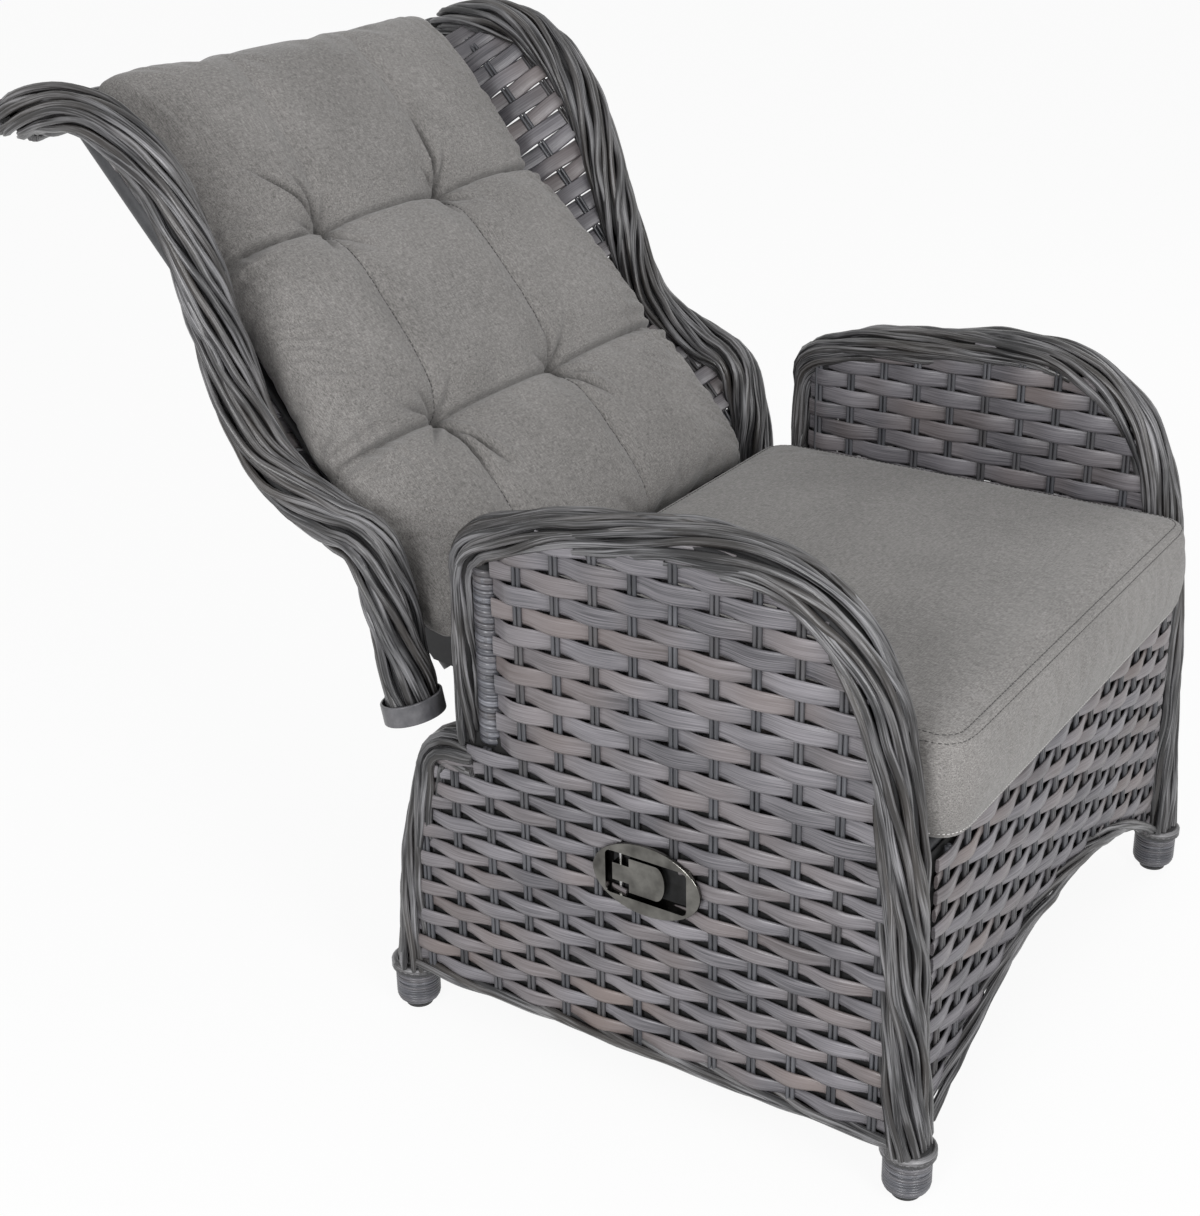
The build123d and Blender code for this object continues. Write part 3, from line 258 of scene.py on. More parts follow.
def newGeometryTree(name, inputs):
    tree = bpy.data.node_groups.new(name, "GeometryNodeTree")
    tree.interface.new_socket("Geometry", in_out="INPUT", socket_type="NodeSocketGeometry")
    for label, kind in inputs:
        tree.interface.new_socket(label, in_out="INPUT", socket_type="NodeSocket" + kind)
    tree.interface.new_socket("Geometry", in_out="OUTPUT", socket_type="NodeSocketGeometry")
    return tree, addNode(tree, "NodeGroupInput"), addNode(tree, "NodeGroupOutput")


def finalMesh(item):
    # The mesh that an object's modifiers and curve settings give
    bpy.context.view_layer.update()
    graph = bpy.context.evaluated_depsgraph_get()
    return bpy.data.meshes.new_from_object(item.evaluated_get(graph), depsgraph=graph)


def meshOf(name, form, finish=None):
    # The mesh of a finished bmesh
    mesh = bpy.data.meshes.new(name)
    form.to_mesh(mesh)
    form.free()
    if finish is not None:
        mesh.materials.append(finish)
    return mesh


def runTree(source, tree, values):
    # Runs a tree on an object, and gives back its plain mesh with the modifier gone
    modifier = source.modifiers.new(tree.name, "NODES")
    modifier.node_group = tree
    for socket in tree.interface.items_tree:
        if socket.in_out == "INPUT" and socket.name in values:
            modifier[socket.identifier] = values[socket.name]
    mesh = finalMesh(source)
    source.modifiers.remove(modifier)
    return mesh


def runOnce(source, tree, values):
    mesh = runTree(source, tree, values)
    bpy.data.objects.remove(source)
    return mesh


def linkObject(name, data):
    item = bpy.data.objects.new(name, data)
    bpy.context.scene.collection.objects.link(item)
    return item


def finishPiece(name, meshes, body, stands=()):
    # Joins meshes into one piece that rides on a body and stands for its solids
    parts = [linkObject(name if number == 0 else f"{name}_{number}", mesh)
             for number, mesh in enumerate(meshes)]
    if len(parts) > 1:
        with bpy.context.temp_override(active_object=parts[0], selected_objects=parts,
                                       selected_editable_objects=parts):
            bpy.ops.object.join()
    piece = parts[0]
    for face in piece.data.polygons:
        face.use_smooth = True
    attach(piece, body)
    if stands:
        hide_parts(*stands)


def smoothPath(name, points, straightEnd=False, thinFrom=None):
    # One open curve that passes through its points without corners
    data = bpy.data.curves.new(name, "CURVE")
    data.dimensions = "3D"
    data.resolution_u = 12
    line = data.splines.new("BEZIER")
    line.bezier_points.add(len(points) - 1)
    for spot, point in zip(line.bezier_points, points):
        spot.co = point
        spot.handle_left_type = spot.handle_right_type = "AUTO"
    if straightEnd:
        line.bezier_points[-1].handle_left_type = "VECTOR"
        line.bezier_points[-2].handle_right_type = "VECTOR"
    if thinFrom is not None:
        for spot in line.bezier_points[thinFrom:]:
            spot.radius = 0.5
    return linkObject(name, data)


def linesObject(name, lines):
    # Edges that keep the weave's phase, its outward side, how far an end tucks in, and a tone
    mesh = bpy.data.meshes.new(name)
    verts, edges, phases, outs, tucks, tones = [], [], [], [], [], []
    for points, normals, phase, tuck, tone in lines:
        start = len(verts)
        verts += points
        phases += phase
        tucks += tuck
        tones += [tone] * len(points)
        for normal in normals:
            outs += list(normal)
        edges += [(start + step, start + step + 1) for step in range(len(points) - 1)]
    mesh.from_pydata(verts, edges, [])
    for label, values in (("phase", phases), ("tuck", tucks), ("tone", tones)):
        mesh.attributes.new(label, "FLOAT", "POINT").data.foreach_set("value", values)
    mesh.attributes.new("outwards", "FLOAT_VECTOR", "POINT").data.foreach_set("vector", outs)
    return linkObject(name, mesh)


# Materials and their shader group
def newMaterial(name):
    material = bpy.data.materials.new(name)
    material.use_nodes = True
    return material, material.node_tree, material.node_tree.nodes["Principled BSDF"]


def addBump(tree, surface, height, strength, distance):
    node = addNode(tree, "ShaderNodeBump", in_Strength=strength, in_Distance=distance)
    tree.links.new(height, node.inputs["Height"])
    tree.links.new(node.outputs[0], surface.inputs["Normal"])


def mixedColour(tree, factor, first, second):
    node = addNode(tree, "ShaderNodeMix", data_type="RGBA", clamp_factor=True)
    for number, value in ((0, factor), (6, first), (7, second)):
        tree.links.new(value, node.inputs[number])
    return node.outputs[2]


def newShaderGroup(name, inputs, outputs):
    tree = bpy.data.node_groups.new(name, "ShaderNodeTree")
    for label, kind, value in inputs:
        socket = tree.interface.new_socket(label, in_out="INPUT", socket_type="NodeSocket" + kind)
        if value is not None:
            socket.default_value = value
    for label, kind in outputs:
        tree.interface.new_socket(label, in_out="OUTPUT", socket_type="NodeSocket" + kind)
    return tree, addNode(tree, "NodeGroupInput"), addNode(tree, "NodeGroupOutput")


def rampNode(tree, factor, stops):
    node = addNode(tree, "ShaderNodeValToRGB")
    ramp = node.color_ramp
    while len(ramp.elements) < len(stops):
        ramp.elements.new(1.0)
    for element, (place, colour) in zip(ramp.elements, stops):
        element.position = place
        element.color = (*colour, 1)
    tree.links.new(factor, node.inputs[0])
    return node.outputs[0]


def noiseNode(tree, vector, scale, detail=3.0, roughness=0.55):
    node = addNode(tree, "ShaderNodeTexNoise", in_Scale=scale, in_Detail=detail,
                   in_Roughness=roughness)
    tree.links.new(vector, node.inputs["Vector"])
    return node.outputs[0]


def makeFibreGroup():
    # Long streaks of lighter and darker grain that run along a strip or strand
    inputs = [("Dark", "Color", (0, 0, 0, 1)), ("Light", "Color", (1, 1, 1, 1)),
              ("Warm", "Color", (0.2, 0.15, 0.15, 1)), ("Streaks", "Float", 1.0),
              ("Balance", "Float", 0.5), ("Warmth", "Float", 0.5)]
    tree, given, result = newShaderGroup("fibreGrain", inputs,
                                         [("Color", "Color"), ("Height", "Float")])
    source = addNode(tree, "ShaderNodeAttribute", attribute_name="grain")
    along, across, tone = parted(tree, source.outputs["Vector"])
    fine = joined(tree, times(tree, along, 14.0), times(tree, across, 900.0),
                  times(tree, tone, 37.0))
    slow = joined(tree, times(tree, along, 7.0), times(tree, tone, 91.0))
    warm = joined(tree, times(tree, along, 5.0), None, times(tree, tone, 53.0))
    streak = noiseNode(tree, fine, 1.0, 3.0, 0.6)
    patch = noiseNode(tree, slow, 1.0, 2.0, 0.5)
    warmPatch = noiseNode(tree, warm, 1.0, 2.0, 0.5)
    mixed = plus(tree, times(tree, streak, 0.6), times(tree, patch, 0.4))
    spread = mathNode(tree, "MULTIPLY_ADD", minus(tree, mixed, given.outputs["Balance"]),
                      times(tree, given.outputs["Streaks"], 2.6), 0.5)
    shade = mixedColour(tree, spread, given.outputs["Dark"], given.outputs["Light"])
    warmth = mathNode(tree, "MULTIPLY_ADD", warmPatch, 3.0, -1.35)
    tint = mixedColour(tree, times(tree, warmth, given.outputs["Warmth"]), shade,
                       given.outputs["Warm"])
    tree.links.new(tint, result.inputs["Color"])
    tree.links.new(streak, result.inputs["Height"])
    return tree


fibreGrain = makeFibreGroup()


def makeFibreMaterial(name, dark, light, warm, streaks, roughness, bump, balance=0.5,
                      warmth=0.55):
    material, tree, surface = newMaterial(name)
    grain = addNode(tree, "ShaderNodeGroup", node_tree=fibreGrain)
    for label, value in (("Dark", (*dark, 1)), ("Light", (*light, 1)), ("Warm", (*warm, 1)),
                         ("Streaks", streaks), ("Balance", balance), ("Warmth", warmth)):
        grain.inputs[label].default_value = value
    tree.links.new(grain.outputs["Color"], surface.inputs["Base Color"])
    surface.inputs["Roughness"].default_value = roughness
    addBump(tree, surface, grain.outputs["Height"], 0.5, bump)
    return material


stripFinish = makeFibreMaterial("stripFinish", (0.040, 0.039, 0.045), (0.205, 0.196, 0.212),
                                (0.175, 0.136, 0.120), 1.35, 0.36, 0.0005, warmth=0.7)
strandFinish = makeFibreMaterial("strandFinish", (0.011, 0.011, 0.012), (0.240, 0.238, 0.248),
                                 (0.075, 0.064, 0.054), 2.1, 0.34, 0.0006, balance=0.56)
# Painted shade: a near-black finish for the cores of bundles, posts and feet, seen only in the
# gaps
gapShadeFinish = makeFibreMaterial("gapShadeFinish", (0.004, 0.004, 0.005), (0.012, 0.012, 0.013),
                               (0.010, 0.009, 0.008), 1.0, 0.8, 0.0002)
stakeFinish = makeFibreMaterial("stakeFinish", (0.014, 0.015, 0.018), (0.095, 0.097, 0.108),
                                (0.07, 0.06, 0.055), 1.2, 0.36, 0.0002)
wrapFinish = makeFibreMaterial("wrapFinish", (0.020, 0.021, 0.026), (0.175, 0.178, 0.200),
                               (0.12, 0.10, 0.092), 1.7, 0.30, 0.0003, balance=0.52)


def makeSolidMaterial(name, dark, light, roughness, metallic=0.0, scale=60.0, bump=0.0002):
    # A plain finish with faint mottling, slightly uneven gloss and fine surface grain
    material, tree, surface = newMaterial(name)
    place = addNode(tree, "ShaderNodeTexCoord").outputs["Object"]
    mottle = noiseNode(tree, place, scale, 4.0, 0.6)
    fine = noiseNode(tree, place, scale * 9, 2.0, 0.6)
    tree.links.new(rampNode(tree, mottle, [(0.3, dark), (0.7, light)]),
                   surface.inputs["Base Color"])
    gloss = mathNode(tree, "MULTIPLY_ADD", mottle, roughness * 0.5, roughness * 0.75)
    tree.links.new(gloss, surface.inputs["Roughness"])
    surface.inputs["Metallic"].default_value = metallic
    addBump(tree, surface, fine, 0.3, bump)
    return material


tubeFinish = makeSolidMaterial("tubeFinish", (0.030, 0.031, 0.034), (0.050, 0.051, 0.055), 0.45)
bandFinish = makeSolidMaterial("bandFinish", (0.045, 0.045, 0.050), (0.120, 0.118, 0.126), 0.34,
                               scale=45.0, bump=0.0004)
chromeFinish = makeSolidMaterial("chromeFinish", (0.060, 0.058, 0.054), (0.210, 0.205, 0.190),
                                 0.12, metallic=1.0, scale=30.0, bump=0.0004)
bracketFinish = makeSolidMaterial("bracketFinish", (0.014, 0.014, 0.015), (0.030, 0.030, 0.032),
                                  0.42, metallic=0.3)
steelFinish = makeSolidMaterial("steelFinish", (0.42, 0.42, 0.42), (0.62, 0.62, 0.62), 0.28,
                                metallic=1.0)
plasticFinish = makeSolidMaterial("plasticFinish", (0.010, 0.010, 0.011), (0.022, 0.022, 0.023),
                                  0.5, scale=120.0)
strapFinish = makeSolidMaterial("strapFinish", (0.012, 0.012, 0.013), (0.040, 0.040, 0.042), 0.8,
                                scale=400.0, bump=0.0006)
dressing = [
    (tubeFinish, ["arm_tube_left", "arm_tube_right", "back_tube_left", "back_tube_right",
                  "seat_rail_left", "seat_rail_right", "front_cross_tube", "rear_cross_tube",
                  "corner_tube_left", "corner_tube_right", "back_cross_tubes"]),
    (bandFinish, ["rim_cap_left", "rim_cap_right"]),
    (chromeFinish, ["latch_bezel", "latch_paddle", "latch_cup"]),
    (bracketFinish, ["hinge_bracket_left", "hinge_bracket_right", "hinge_plate_left",
                     "hinge_plate_right", "lever_lug", "spring_mount", "gas_cylinder",
                     "release_head"]),
    (steelFinish, ["hinge_pins", "gas_rod", "spring_pins", "latch_pin", "lever_pin",
                   "release_lever"]),
    (plasticFinish, ["glides"]),
    (strapFinish, ["seat_straps"]),
]
for finish, names in dressing:
    for name in names:
        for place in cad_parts[name].material_slots:
            place.material = finish
# Painted shade: a near-black finish for the sheet that stands for the shadowed inside of the base
shadeSheetFinish, shadeSheetTree, shadeSheetSurface = newMaterial("shadeSheetFinish")
shadeSheetNoise = noiseNode(shadeSheetTree, addNode(shadeSheetTree, "ShaderNodeTexCoord").outputs["Object"], 90.0)
shadeSheetTree.links.new(rampNode(shadeSheetTree, shadeSheetNoise, [(0.3, (0.004, 0.004, 0.004)),
                                               (0.7, (0.016, 0.016, 0.017))]),
                  shadeSheetSurface.inputs["Base Color"])
shadeSheetSurface.inputs["Roughness"].default_value = 0.9
print("materials made")


# A bundle of strands that twists along a path
strandForm = {"step": 0.009, "raggedShare": 0.618, "waveAlong": 8.0, "waveApart": 3.7,
              "waveShift": (11.3, 4.1, 2.9), "liftScale": 1.6, "tipSlope": 60.0, "tipEnd": 0.45}


def makeStrandTree(values):
    inputs = [("Strands", "Int"), ("Wide", "Float"), ("Deep", "Float"), ("Radius", "Float"),
              ("Twist", "Float"), ("Wobble", "Float"), ("Lift", "Float"), ("Ragged", "Float"),
              ("Seed", "Float"), ("Sides", "Int"), ("Sideways", "Vector"),
              ("Finish", "Material")]
    tree, given, result = newGeometryTree("strandBundle", inputs)
    new, asked = tree.links.new, given.outputs
    length = addNode(tree, "GeometryNodeCurveLength")
    new(asked["Geometry"], length.inputs[0])
    line = addNode(tree, "GeometryNodeCurvePrimitiveLine")
    fine = addNode(tree, "GeometryNodeResampleCurve")
    new(line.outputs[0], fine.inputs["Curve"])
    new(mathNode(tree, "DIVIDE", length.outputs[0], values["step"]), fine.inputs["Count"])
    copies = addNode(tree, "GeometryNodeDuplicateElements", domain="SPLINE")
    new(fine.outputs[0], copies.inputs["Geometry"])
    new(asked["Strands"], copies.inputs["Amount"])
    bundle = stored(tree, copies.outputs["Geometry"], "strand",
                    copies.outputs["Duplicate Index"], "CURVE")
    number = recalled(tree, "strand")
    factor = addNode(tree, "GeometryNodeSplineParameter").outputs["Factor"]
    # Each strand stops a little before or after its neighbours
    uneven = mathNode(tree, "FRACT", times(tree, number, values["raggedShare"]))
    reached = minus(tree, length.outputs[0], times(tree, uneven, asked["Ragged"]))
    along = times(tree, factor, reached)
    path = addNode(tree, "GeometryNodeSampleCurve", mode="LENGTH")
    new(asked["Geometry"], path.inputs["Curves"])
    new(addNode(tree, "GeometryNodeInputRadius").outputs[0], path.inputs[1])
    new(along, path.inputs["Length"])
    inward = vectorNode(tree, "NORMALIZE", vectorNode(
        tree, "CROSS_PRODUCT", path.outputs["Tangent"], asked["Sideways"]))
    # Slow waves turn each strand round the bundle and lift it out or in
    wave = joined(tree, times(tree, along, values["waveAlong"]),
                  times(tree, number, values["waveApart"]), asked["Seed"])
    otherWave = vectorNode(tree, "ADD", wave, values["waveShift"])
    drift = minus(tree, noiseNode(tree, wave, 1.0, 1.0), 0.5)
    lift = minus(tree, noiseNode(tree, otherWave, values["liftScale"], 1.0), 0.5)
    share = mathNode(tree, "DIVIDE", number, asked["Strands"])
    turns = mathNode(tree, "MULTIPLY_ADD", along, asked["Twist"], share)
    drifted = mathNode(tree, "MULTIPLY_ADD", drift, asked["Wobble"], turns)
    angle = times(tree, drifted, 2 * math.pi)
    lifted = times(tree, lift, times(tree, asked["Radius"], asked["Lift"]))
    wide = plus(tree, minus(tree, asked["Wide"], asked["Radius"]), lifted)
    thinned = times(tree, asked["Deep"], path.outputs[0])
    deep = plus(tree, minus(tree, thinned, asked["Radius"]), lifted)
    sideways = vectorNode(tree, "SCALE", asked["Sideways"],
                          scale=times(tree, mathNode(tree, "COSINE", angle), wide))
    inwards = vectorNode(tree, "SCALE", inward,
                         scale=times(tree, mathNode(tree, "SINE", angle), deep))
    spot = vectorNode(tree, "ADD", path.outputs["Position"],
                      vectorNode(tree, "ADD", sideways, inwards))
    placed = stored(tree, moved(tree, bundle, "Position", spot), "along", along)
    ring = addNode(tree, "GeometryNodeCurvePrimitiveCircle")
    new(asked["Sides"], ring.inputs["Resolution"])
    new(asked["Radius"], ring.inputs["Radius"])
    # Tips are rounded off
    tip = mathNode(tree, "MULTIPLY_ADD", minus(tree, reached, along), values["tipSlope"],
                   values["tipEnd"])
    tube = swept(tree, placed, ring.outputs[0], 0, mathNode(tree, "MINIMUM", tip, 1.0))
    finishTree(tree, tube, given, result)
    return tree


strandTree = makeStrandTree(strandForm)


# Flat strips that pass in front of one stake and behind the next
def makeStripTree():
    inputs = [("Amplitude", "Float"), ("Width", "Float"), ("Thickness", "Float"),
              ("Narrowing", "Float"), ("Step", "Float"), ("Sides", "Int"),
              ("Squareness", "Float"), ("Finish", "Material")]
    tree, given, result = newGeometryTree("wovenStrips", inputs)
    new, asked = tree.links.new, given.outputs
    wave = mathNode(tree, "COSINE", times(tree, recalled(tree, "phase"), math.pi))
    out = recalled(tree, "outwards", "FLOAT_VECTOR")
    raised = minus(tree, times(tree, wave, asked["Amplitude"]), recalled(tree, "tuck"))
    placed = moved(tree, evenCurves(tree, asked["Geometry"], asked["Step"]), "Offset",
                   vectorNode(tree, "SCALE", out, scale=raised))
    turned = addNode(tree, "GeometryNodeSetCurveNormal", mode="FREE")
    new(placed, turned.inputs["Curve"])
    new(out, turned.inputs["Normal"])
    # A strip is a little narrower where it passes behind a stake
    hidden = mathNode(tree, "MULTIPLY_ADD", wave, -0.5, 0.5)
    size = mathNode(tree, "MULTIPLY_ADD", hidden, times(tree, asked["Narrowing"], -1.0), 1.0)
    line = stored(tree, turned.outputs[0], "along", lengthAlong(tree))
    line = stored(tree, line, "strand", recalled(tree, "tone"))
    # Flat faces and rounded edges
    ring = addNode(tree, "GeometryNodeCurvePrimitiveCircle", in_Radius=1.0)
    new(asked["Sides"], ring.inputs["Resolution"])
    boxed = []
    for value in parted(tree, addNode(tree, "GeometryNodeInputPosition").outputs[0])[:2]:
        power = mathNode(tree, "POWER", mathNode(tree, "ABSOLUTE", value), asked["Squareness"])
        boxed.append(times(tree, power, mathNode(tree, "SIGN", value)))
    squared = moved(tree, ring.outputs[0], "Position", joined(tree, *boxed))
    profile = scaledProfile(tree, squared, times(tree, asked["Thickness"], 0.5),
                            times(tree, asked["Width"], 0.5))
    finishTree(tree, swept(tree, line, profile, 1, size), given, result)
    return tree


stripTree = makeStripTree()


# Pairs of round stakes under the strips
def makeStakeTree():
    inputs = [("Spread", "Float"), ("Radius", "Float"), ("Finish", "Material")]
    tree, given, result = newGeometryTree("stakePairs", inputs)
    new, asked = tree.links.new, given.outputs
    line = stored(tree, evenCurves(tree, asked["Geometry"], 0.03), "strand",
                  recalled(tree, "tone"))
    line = stored(tree, line, "along", lengthAlong(tree))
    pair = addNode(tree, "GeometryNodeDuplicateElements", domain="SPLINE", in_Amount=2)
    new(line, pair.inputs["Geometry"])
    side = mathNode(tree, "MULTIPLY_ADD", pair.outputs["Duplicate Index"], 2.0, -1.0)
    across = vectorNode(tree, "CROSS_PRODUCT",
                        addNode(tree, "GeometryNodeInputTangent").outputs[0],
                        recalled(tree, "outwards", "FLOAT_VECTOR"))
    apart = vectorNode(tree, "SCALE", across, scale=times(tree, side, asked["Spread"]))
    placed = moved(tree, pair.outputs["Geometry"], "Offset", apart)
    ring = addNode(tree, "GeometryNodeCurvePrimitiveCircle", in_Resolution=6)
    new(asked["Radius"], ring.inputs["Radius"])
    finishTree(tree, swept(tree, placed, ring.outputs[0], 0), given, result)
    return tree


stakeTree = makeStakeTree()


# Windings round a post, a foot or its collar
def makeWindingTree():
    inputs = [("Radius", "Float"), ("Turns", "Float"), ("Height", "Float"), ("Round", "Float"),
              ("Strip Width", "Float"), ("Strip Depth", "Float"), ("Steps", "Int"),
              ("Place", "Vector"), ("Tilt", "Float"), ("Finish", "Material")]
    tree, given, result = newGeometryTree("windings", inputs)
    new, asked = tree.links.new, given.outputs
    spiral = addNode(tree, "GeometryNodeCurveSpiral")
    for label, socket in (("Steps", "Resolution"), ("Turns", "Rotations"),
                          ("Radius", "Start Radius"), ("Radius", "End Radius"),
                          ("Height", "Height")):
        new(asked[label], spiral.inputs[socket])
    x, y, z = parted(tree, addNode(tree, "GeometryNodeInputPosition").outputs[0])
    # The lowest turns draw in round the lower edge
    low = mathNode(tree, "DIVIDE", minus(tree, asked["Round"], z),
                   mathNode(tree, "MAXIMUM", asked["Round"], 0.0001))
    bend = mathNode(tree, "POWER", mathNode(tree, "MAXIMUM", low, 0.0), 2.0)
    curl = mathNode(tree, "SQRT", mathNode(tree, "MAXIMUM", minus(tree, 1.0, bend), 0.0))
    cut = times(tree, minus(tree, 1.0, curl), asked["Round"])
    share = minus(tree, 1.0, mathNode(tree, "DIVIDE", cut, asked["Radius"]))
    shaped = joined(tree, times(tree, x, share), times(tree, y, share),
                    plus(tree, z, times(tree, y, asked["Tilt"])))
    placed = moved(tree, spiral.outputs[0], "Position",
                   vectorNode(tree, "ADD", shaped, asked["Place"]))
    upright = addNode(tree, "GeometryNodeSetCurveNormal", mode="Z_UP")
    new(placed, upright.inputs["Curve"])
    line = stored(tree, upright.outputs[0], "along", lengthAlong(tree))
    line = stored(tree, line, "strand",
                  mathNode(tree, "FLOOR", times(tree, lengthAlong(tree), 9.0)))
    ring = addNode(tree, "GeometryNodeCurvePrimitiveCircle", in_Radius=0.5, in_Resolution=7)
    profile = scaledProfile(tree, ring.outputs[0], asked["Strip Depth"], asked["Strip Width"])
    finishTree(tree, swept(tree, line, profile, 1), given, result)
    return tree


windingTree = makeWindingTree()
print("trees made")


# Rims of strands
rim = {
    "strands": 17,
    "radius": 0.0043,
    "twist": 1.0,
    "wobble": 0.20,
    "lift": 2.6,
    "ragged": 0.0,
    "wide": 0.030,
    "deep": 0.021,
    "coreStrands": 9,
    "coreRadius": 0.008,
    "coreShare": 0.38,
    "coreInset": 0.0060,
}
backRim = {"wide": 0.0290, "deep": 0.0230, "twist": 1.7, "ragged": 0.030}


def strandMesh(path, **values):
    settings = {"Strands": rim["strands"], "Radius": rim["radius"], "Wobble": rim["wobble"],
                "Lift": rim["lift"], "Ragged": rim["ragged"], "Sides": 6,
                "Sideways": (1.0, 0.0, 0.0), "Finish": strandFinish}
    settings.update(values)
    return runTree(path, strandTree, settings)


def coreMesh(path, **values):
    # Plain strands that fill a bundle, in near-black painted shade for the gaps between the outer
    # strands
    return strandMesh(path, Twist=0.0, Wobble=0.0, Lift=0.0, Sides=5, Finish=gapShadeFinish,
                      **values)


def makeRim(name, points, values, turn, seed, body, node, straightEnd=False, thinFrom=None):
    path = smoothPath(name + "Path", points, straightEnd, thinFrom)
    wide, deep, inset = values["wide"], values["deep"], rim["coreInset"]
    shared = {"Seed": seed, "Ragged": values["ragged"]}
    outer = strandMesh(path, Wide=wide, Deep=deep, Twist=turn * values["twist"], **shared)
    inner = coreMesh(path, Strands=rim["coreStrands"], Wide=wide - inset, Deep=deep - inset,
                     Radius=min(rim["coreRadius"], deep * rim["coreShare"]), **shared)
    bpy.data.objects.remove(path)
    finishPiece(name, [outer, inner], body, [node])


depth, height = chair["armDepth"], chair["armHeight"]
armPath = [armRimPath[0]] + [(depth * u, height * v) for u, v in armRimPath[1:]]
armPath += [(depth, height * 0.915), (depth + 0.0085, height * 0.870),
            (depth + 0.0105, chair["shelf"])]
rearPath = [(0.462, 0.319), (0.504, 0.319), (0.5216, 0.277), (0.559, 0.054)]
for side, name in sides:
    x = side * chair["sideHalf"]
    makeRim(f"armRim_{name}", [inSide(x, u, v) for u, v in armPath], rim, side, 1.0 + side,
            "base", f"arm_rim_{name}", straightEnd=True, thinFrom=-2)
    makeRim(f"rearRim_{name}", [inSide(x, u, v) for u, v in rearPath], rim, side, 5.0 + side,
            "base", f"rear_rim_{name}")
    wing, length = side * chair["wingHalf"], chair["backLength"]
    makeRim(f"backRim_{name}", [inBack(wing, u * length, v * length) for u, v in backRimPath],
            backRim, side, 9.0 + side, "backrest", f"back_rim_{name}")
print("rims made")


# Bundles along the lower edges, round the arch and along the top of the back
lowEdge = {"x": 0.338, "z": 0.065, "reaches": (0.006, 0.19, 0.375, 0.559), "wide": 0.020,
           "deep": 0.010, "strands": 9, "radius": 0.0040, "twist": 1.6}
archEdge = {"half": 0.300, "low": 0.063, "high": 0.154, "reach": 0.007, "wide": 0.013,
            "deep": 0.008, "strands": 8, "radius": 0.0036, "twist": 2.0, "steps": 14}
topEdge = {"half": 0.311, "behind": 0.0404, "along": 0.680, "wide": 0.023, "deep": 0.017,
           "strands": 10, "radius": 0.0055, "twist": 4.0, "coreStrands": 6,
           "coreRadius": 0.0075, "coreShare": 0.75}


def makeBundle(name, points, values, seed, sideways, body, node):
    path = smoothPath(name + "Path", points)
    wide, deep = values["wide"], values["deep"]
    shared = {"Seed": seed, "Sideways": sideways}
    meshes = [strandMesh(path, Strands=values["strands"], Radius=values["radius"], Wide=wide,
                         Deep=deep, Twist=values["twist"], **shared)]
    if "coreStrands" in values:
        share = values["coreShare"]
        meshes.append(coreMesh(path, Strands=values["coreStrands"], Wide=wide * share,
                               Deep=deep * share, Radius=values["coreRadius"], **shared))
    bpy.data.objects.remove(path)
    finishPiece(name, meshes, body, [node])


def arcHeight(values, x):
    # Height of the arch at a place across the front
    half, rise = values["half"], values["high"] - values["low"]
    radius = (half * half + rise * rise) / (2 * rise)
    return values["high"] - radius + math.sqrt(max(radius * radius - x * x, 0.0))


for side, name in sides:
    makeBundle(f"edgeRim_{name}",
               [inSide(side * lowEdge["x"], reach, lowEdge["z"]) for reach in lowEdge["reaches"]],
               lowEdge, 3.0 + side, (1.0, 0.0, 0.0), "base", f"edge_rim_{name}")
archPoints = [-archEdge["half"] + 2 * archEdge["half"] * step / archEdge["steps"]
              for step in range(archEdge["steps"] + 1)]
makeBundle("archRim", [inSide(x, archEdge["reach"], arcHeight(archEdge, x)) for x in archPoints],
           archEdge, 8.0, (0.0, 1.0, 0.0), "base", "arch_rim")
behindWay = (0.0, math.cos(chair["recline"]), -math.sin(chair["recline"]))
makeBundle("topRim", [inBack(topEdge["half"] * share, topEdge["behind"], topEdge["along"])
                      for share in (-1, -0.5, 0, 0.5, 1)],
           topEdge, 2.0, behindWay, "backrest", "top_rim")
print("edge bundles made")


# Woven skins: rows of strips and columns of stakes inside an outline
shortest = {"strip": 0.006, "stakePiece": 0.04, "tuckReach": 0.004}


def crossings(outline, level, axis):
    # Where a level line crosses a closed outline, as sorted places on the other axis
    found = []
    for a, b in zip(outline, outline[1:] + outline[:1]):
        if (a[axis] - level) * (b[axis] - level) < 0:
            share = (level - a[axis]) / (b[axis] - a[axis])
            found.append(a[1 - axis] + share * (b[1 - axis] - a[1 - axis]))
    found.sort()
    return list(zip(found[::2], found[1::2]))


def roundedOutline(points, straightEnd=False):
    # The outline that a smooth path through these points follows
    path = smoothPath("outlinePath", [(u, v, 0) for u, v in points], straightEnd)
    places = [(vert.co.x, vert.co.y) for vert in finalMesh(path).vertices]
    bpy.data.objects.remove(path)
    return places


def around(spans, level, hole, axis):
    # Leaves an oval place free: hole holds its centre and its half sizes
    if hole is None:
        return spans
    centre, half = hole
    away = (level - centre[1 - axis]) / half[1 - axis]
    if abs(away) >= 1:
        return spans
    chord = half[axis] * math.sqrt(1 - away * away)
    low, high = centre[axis] - chord, centre[axis] + chord
    parts = [part for a, b in spans for part in ((a, min(b, low)), (max(a, high), b))]
    return [(a, b) for a, b in parts if b - a > shortest["strip"]]


def evenly(low, high, count):
    # Places from low to high in this many equal steps
    return [low + (high - low) * step / count for step in range(count + 1)]


